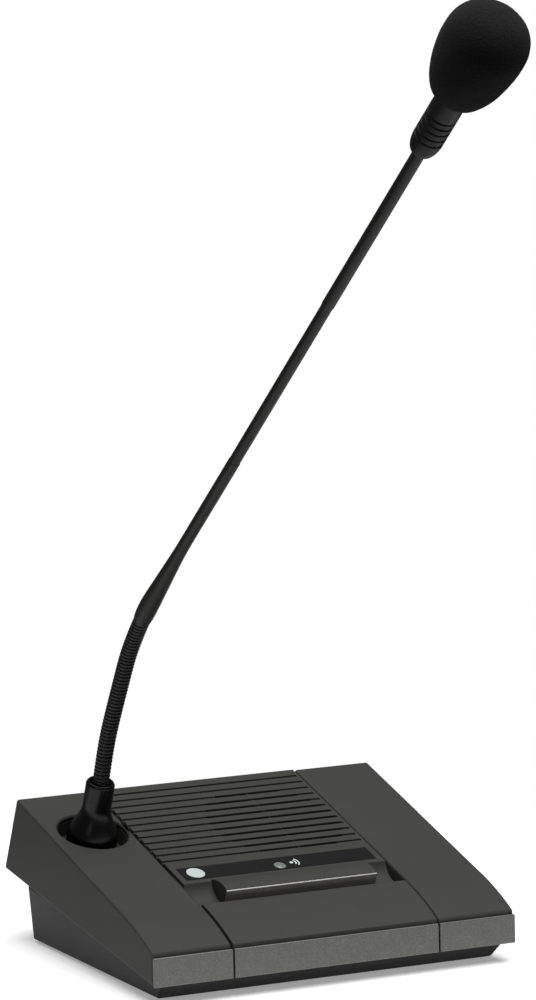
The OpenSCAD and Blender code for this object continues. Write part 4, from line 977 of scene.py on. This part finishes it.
@dataclass
class MicHead:
    """The ribbed boot, smooth barrel and foam windshield on the rod's end."""

    palette: Palette
    line: Centreline
    rod_len: float = 282.9
    head_r: float = 5.7
    boot_len: float = 20.8
    tail_len: float = 8.0
    barrel_len: float = 22.0
    foam_gap: float = 10.1
    foam_rear: float = 26.0
    foam_nose: float = 14.0
    foam_r: float = 15.5
    seed: int = 7

    def on_head(self, points: np.ndarray) -> np.ndarray:
        """Points (n, 3) round the head's axis from the rod's end, mm, to the row frame."""
        d = self.line.rod_dir
        base = self.line.last_joint + d * self.rod_len
        x = PLACES.neck_x + points[:, 0]
        y = base[0] + d[0] * points[:, 2] + d[1] * points[:, 1]
        z = base[1] + d[1] * points[:, 2] - d[0] * points[:, 1]
        return PLACES.case(np.stack([x, y, z], axis=1))

    def build_boot(self) -> None:
        """The boot: a domed tail, then a straight part with soft ring grooves.

        The tail's radius is a quarter ellipse; each groove is a cosine dip a third of a mm deep.
        """
        z = np.linspace(0.0, self.boot_len - 0.4, 260)
        t = np.clip(z / self.tail_len, 0.0, 1.0)
        r = 2.95 + (self.head_r - 2.95) * np.sqrt(1.0 - (1.0 - t) ** 2)
        for k in range(1, 5):
            away = np.abs(z - (self.boot_len - 3.0 * k))
            r -= 0.38 * np.where(away < 0.55, 0.5 + 0.5 * np.cos(np.pi * away / 0.55), 0.0)
        r[-4:] -= np.array([0.02, 0.06, 0.14, 0.26])
        outer = np.stack([r, z], axis=1)
        inner = np.array([(4.6, self.boot_len - 0.4), (4.6, self.boot_len - 4), (2.25, 9.0),
                          (2.25, 0.0)])
        profile = np.concatenate([outer, inner, outer[:1]])
        piece = surface("boot_ringed", placed(revolve(profile, 96), self.on_head), True, False)
        self.palette.dress(piece, Look.BOOT)
        settle(piece, "boom", "head_boot")

    def build_barrel(self) -> None:
        """The barrel: a thin straight tube with softened rims."""
        low, high = self.boot_len, self.boot_len + self.barrel_len
        profile = rounded_profile([
            (self.head_r - 0.9, low, 0), (self.head_r, low, 0.25), (self.head_r, high, 0.2),
            (self.head_r - 0.9, high, 0.1), (self.head_r - 0.9, low, 0)])
        piece = surface("barrel_turned", placed(revolve(profile, 96), self.on_head), True, False)
        self.palette.dress(piece, Look.BARREL)
        settle(piece, "boom", "head_barrel")

    def lattice(self, points: np.ndarray, size: float) -> np.ndarray:
        """Value noise from 0 to 1: seeded values at lattice corners, eased between them."""
        rng = np.random.default_rng(self.seed)
        table = rng.random((64, 64, 64))
        q = points / size + 500.0
        cell = np.floor(q).astype(int)
        f = q - cell
        f = f * f * (3 - 2 * f)
        total = np.zeros(len(points))
        for dx in (0, 1):
            for dy in (0, 1):
                for dz in (0, 1):
                    w = (np.abs(1 - dx - f[:, 0]) * np.abs(1 - dy - f[:, 1])
                         * np.abs(1 - dz - f[:, 2]))
                    c = (cell + (dx, dy, dz)) % 64
                    total += w * table[c[:, 0], c[:, 1], c[:, 2]]
        return total

    def build_foam(self) -> None:
        """The windshield: an egg of open-cell foam with a blunt rear end round the barrel.

        The rear is part of a long ellipse, the nose half of a slightly fuller one (the power of
        its sine and cosine is 2 over 2.3), and the surface moves in by noise at two sizes, which
        leaves pores and a soft uneven outline.
        """
        wide = self.boot_len + self.foam_gap + self.foam_rear
        long = self.foam_rear * 1.22
        back_z = np.linspace(-self.foam_rear, 0.0, 120)
        back_r = self.foam_r * np.sqrt(1 - (back_z / long) ** 2)
        a = np.linspace(0.0, 1.0, 110)[1:] * math.pi / 2
        full = 2 / 2.3
        nose = np.stack([self.foam_r * np.clip(np.cos(a), 0.0, 1.0) ** full,
                         wide + self.foam_nose * np.sin(a) ** full], axis=1)
        nose[-1, 0] = 1e-4
        rear_r = back_r[0]
        lip = np.array([(rear_r - 1.5, wide - self.foam_rear + 0.05),
                        (rear_r - 0.75, wide - self.foam_rear + 0.2),
                        (rear_r - 0.22, wide - self.foam_rear + 0.65)])
        keep = back_z > -self.foam_rear + 1.2
        outer = np.concatenate([lip, np.stack([back_r[keep], wide + back_z[keep]], axis=1), nose])
        bore_top = self.boot_len + self.barrel_len + 14.0 - self.head_r + 0.2
        b = np.linspace(math.pi / 2, 0.0, 12)
        bore = np.stack([(self.head_r + 0.05) * np.cos(b),
                         bore_top + (self.head_r + 0.05) * np.sin(b)], axis=1)
        bore[0, 0] = 1e-4
        face = np.array([(self.head_r + 0.05, wide - self.foam_rear + 0.6),
                         (self.head_r + 0.6, wide - self.foam_rear + 0.05)])
        profile = np.concatenate([bore, face, outer])
        grid = revolve(profile, 300)
        flat = grid.reshape(-1, 3)
        centre = np.array([0.0, 0.0, wide])
        out = flat - centre
        out /= np.maximum(np.linalg.norm(out, axis=1), 1e-9)[:, None]
        depth = np.zeros(grid.shape[:2])
        first = len(bore) + len(face)
        depth[first:] = 1.0
        depth[first:first + 3] = 0.4
        pores = self.lattice(flat, 0.6)
        swell = self.lattice(flat + 31.0, 6.0)
        shift = 0.16 * np.clip(pores - 0.3, 0, 1) + 0.22 * (1.0 - swell)
        flat = flat - out * (shift * depth.reshape(-1))[:, None]
        piece = surface("foam_windshield", placed(flat.reshape(grid.shape), self.on_head), True)
        self.palette.dress(piece, Look.FOAM)
        settle(piece, "windshield", "windshield")

    def build(self) -> None:
        """Makes the boot, the barrel and the windshield."""
        self.build_boot()
        self.build_barrel()
        self.build_foam()


@dataclass
class CarriedNodes:
    """The CAD nodes whose shape is kept, and the finish that each one gets."""

    palette: Palette
    looks: dict[str, Look] = field(default_factory=lambda: {
        "label_window": Look.LABEL, "badge_disc": Look.BADGE, "status_lens": Look.LENS,
        "led_emitter": Look.LED, "talk_bar_pins": Look.STEEL, "talk_switches": Look.PARTS,
        "switch_plungers": Look.PLUNGER, "button_board": Look.BOARD,
        "button_board_screws": Look.STEEL, "speaker_gasket": Look.GASKET,
        "speaker_basket": Look.BASKET, "speaker_cone": Look.CONE,
        "speaker_magnet": Look.MAGNET, "speaker_screws": Look.STEEL,
        "main_board": Look.BOARD, "main_board_screws": Look.STEEL,
        "board_components": Look.PARTS, "bus_contacts": Look.GOLD, "well_cup": Look.CUP,
        "mic_socket": Look.PLUG, "mic_plug": Look.PLUG, "plug_pins": Look.GOLD,
        "rod_tube": Look.ROD, "upper_sleeve": Look.SLEEVE, "signal_lead": Look.LEAD,
        "capsule": Look.CAPSULE, "capsule_ring": Look.GASKET,
        "capsule_grille": Look.GRILLE, "ballast_plate": Look.BALLAST,
        "ballast_screws": Look.STEEL, "case_screws": Look.STEEL,
    })

    def build(self) -> None:
        """Dresses every kept node."""
        for node, look in self.looks.items():
            self.palette.dress(frame["nodes"][node], look)
            LOG.info("%s dressed as %s", node, look.value.name)


# ---------------------------------------------------------------- studio


@dataclass
class Studio:
    """The pale floor, the soft lights and the camera."""

    azimuth: float = -29.38
    elevation: float = 9.32
    roll: float = 0.72
    distance: float = 2100.0
    target: tuple[float, float, float] = (7.45, 74.67, 175.89)
    lens: float = 128.76
    shift: tuple[float, float] = (0.00314, 0.00009)
    ambient: float = 0.12
    floor_y: float = -0.1
    overhead_w: float = 46.0
    front_w: float = 1.2

    def room(self) -> None:
        """A white room to the camera, and a dim one to the surfaces it lights."""
        world = bpy.data.worlds.new("pale room")
        bpy.context.scene.world = world
        world.use_nodes = True
        tree = world.node_tree
        tree.nodes.clear()
        seen, felt = (tree.nodes.new("ShaderNodeBackground") for _ in range(2))
        seen.inputs["Strength"].default_value = 1.0
        felt.inputs["Strength"].default_value = self.ambient
        for background in (seen, felt):
            background.inputs["Color"].default_value = (1.0, 1.0, 1.0, 1.0)
        ray = tree.nodes.new("ShaderNodeLightPath")
        mix = tree.nodes.new("ShaderNodeMixShader")
        output = tree.nodes.new("ShaderNodeOutputWorld")
        tree.links.new(ray.outputs["Is Camera Ray"], mix.inputs["Fac"])
        tree.links.new(felt.outputs[0], mix.inputs[1])
        tree.links.new(seen.outputs[0], mix.inputs[2])
        tree.links.new(mix.outputs[0], output.inputs[0])

    def camera(self) -> None:
        """Places the camera at its distance from the target, turned by its small roll."""
        az, el = math.radians(self.azimuth), math.radians(self.elevation)
        away = Vector((math.sin(az) * math.cos(el), -math.cos(az) * math.cos(el), math.sin(el)))
        target = Vector(PLACES.case(np.array([self.target]))[0])
        spot = target + away * self.distance * MM
        look = (target - spot).normalized()
        right = look.cross(Vector((0, 0, 1))).normalized()
        up = right.cross(look)
        c, s = math.cos(math.radians(self.roll)), math.sin(math.radians(self.roll))
        right, up = right * c + up * s, up * c - right * s
        turn = Matrix((right, up, -look)).transposed().to_4x4()
        data = bpy.data.cameras.new("camera")
        data.sensor_fit = "VERTICAL"
        data.sensor_height = 24.0
        data.lens = self.lens
        data.shift_x, data.shift_y = self.shift
        data.clip_start, data.clip_end = 0.05, 50.0
        camera = bpy.data.objects.new("camera", data)
        camera.matrix_world = Matrix.Translation(spot) @ turn
        bpy.context.scene.collection.objects.link(camera)
        bpy.context.scene.camera = camera

    def light(self, name: str, spot: tuple[float, float, float], aim: tuple[float, float, float],
              size: tuple[float, float], power: float) -> None:
        """One soft rectangular light.

        Args:
            name: the light's name.
            spot: its place, metres.
            aim: the place it faces, metres.
            size: its width and height, metres.
            power: its strength, watts.
        """
        data = bpy.data.lights.new(name, "AREA")
        data.shape = "RECTANGLE"
        data.size, data.size_y = size
        data.energy = power
        lamp = bpy.data.objects.new(name, data)
        lamp.location = spot
        lamp.rotation_euler = (Vector(aim) - Vector(spot)).to_track_quat("-Z", "Y").to_euler()
        bpy.context.scene.collection.objects.link(lamp)

    def floor(self) -> None:
        """A round pale floor under the mat, which the light burns out to the room's white."""
        r = np.array([1e-4, 0.1, 0.2, 0.34])
        grid = revolve(np.stack([r / MM, np.zeros_like(r)], axis=1), 64) * MM
        grid[..., 1] += self.floor_y
        floor = surface("floor", grid, wrap=True, caps=False)
        graph = Graph("pale floor")
        tone = graph.noise(400.0, 2.0)
        colour = graph.mix(tone, (0.74, 0.74, 0.74), (0.76, 0.76, 0.76))
        floor.data.materials.append(graph.finish(Base_Color=colour, Roughness=0.7,
                                                 Specular_IOR_Level=0.1,
                                                 Emission_Strength=0.3))
        if floor.data.polygons[0].normal.z < 0:
            floor.data.flip_normals()

    def build(self) -> None:
        """Sets the world, floor, lights and camera."""
        self.room()
        bpy.context.scene.view_settings.view_transform = "Standard"
        self.floor()
        self.light("overhead", (0.0, -0.25, 1.5), (0.0, -0.25, 0.0), (1.6, 1.6), self.overhead_w)
        self.light("front left", (-1.3, -1.2, 0.75), (0.0, 0.0, 0.1), (0.5, 0.9), self.front_w)
        self.camera()


def main() -> None:
    logging.basicConfig(level=logging.INFO, format="%(name)s: %(message)s")
    palette = Palette()
    line = Centreline(PLACES)
    Studio().build()
    CarriedNodes(palette).build()
    CaseMouldings(palette).build()
    LabelStrip(palette).build()
    LockCollar(palette).build()
    Gooseneck(palette, line).build()
    MicHead(palette, line).build()


if __name__ == "__main__":
    main()
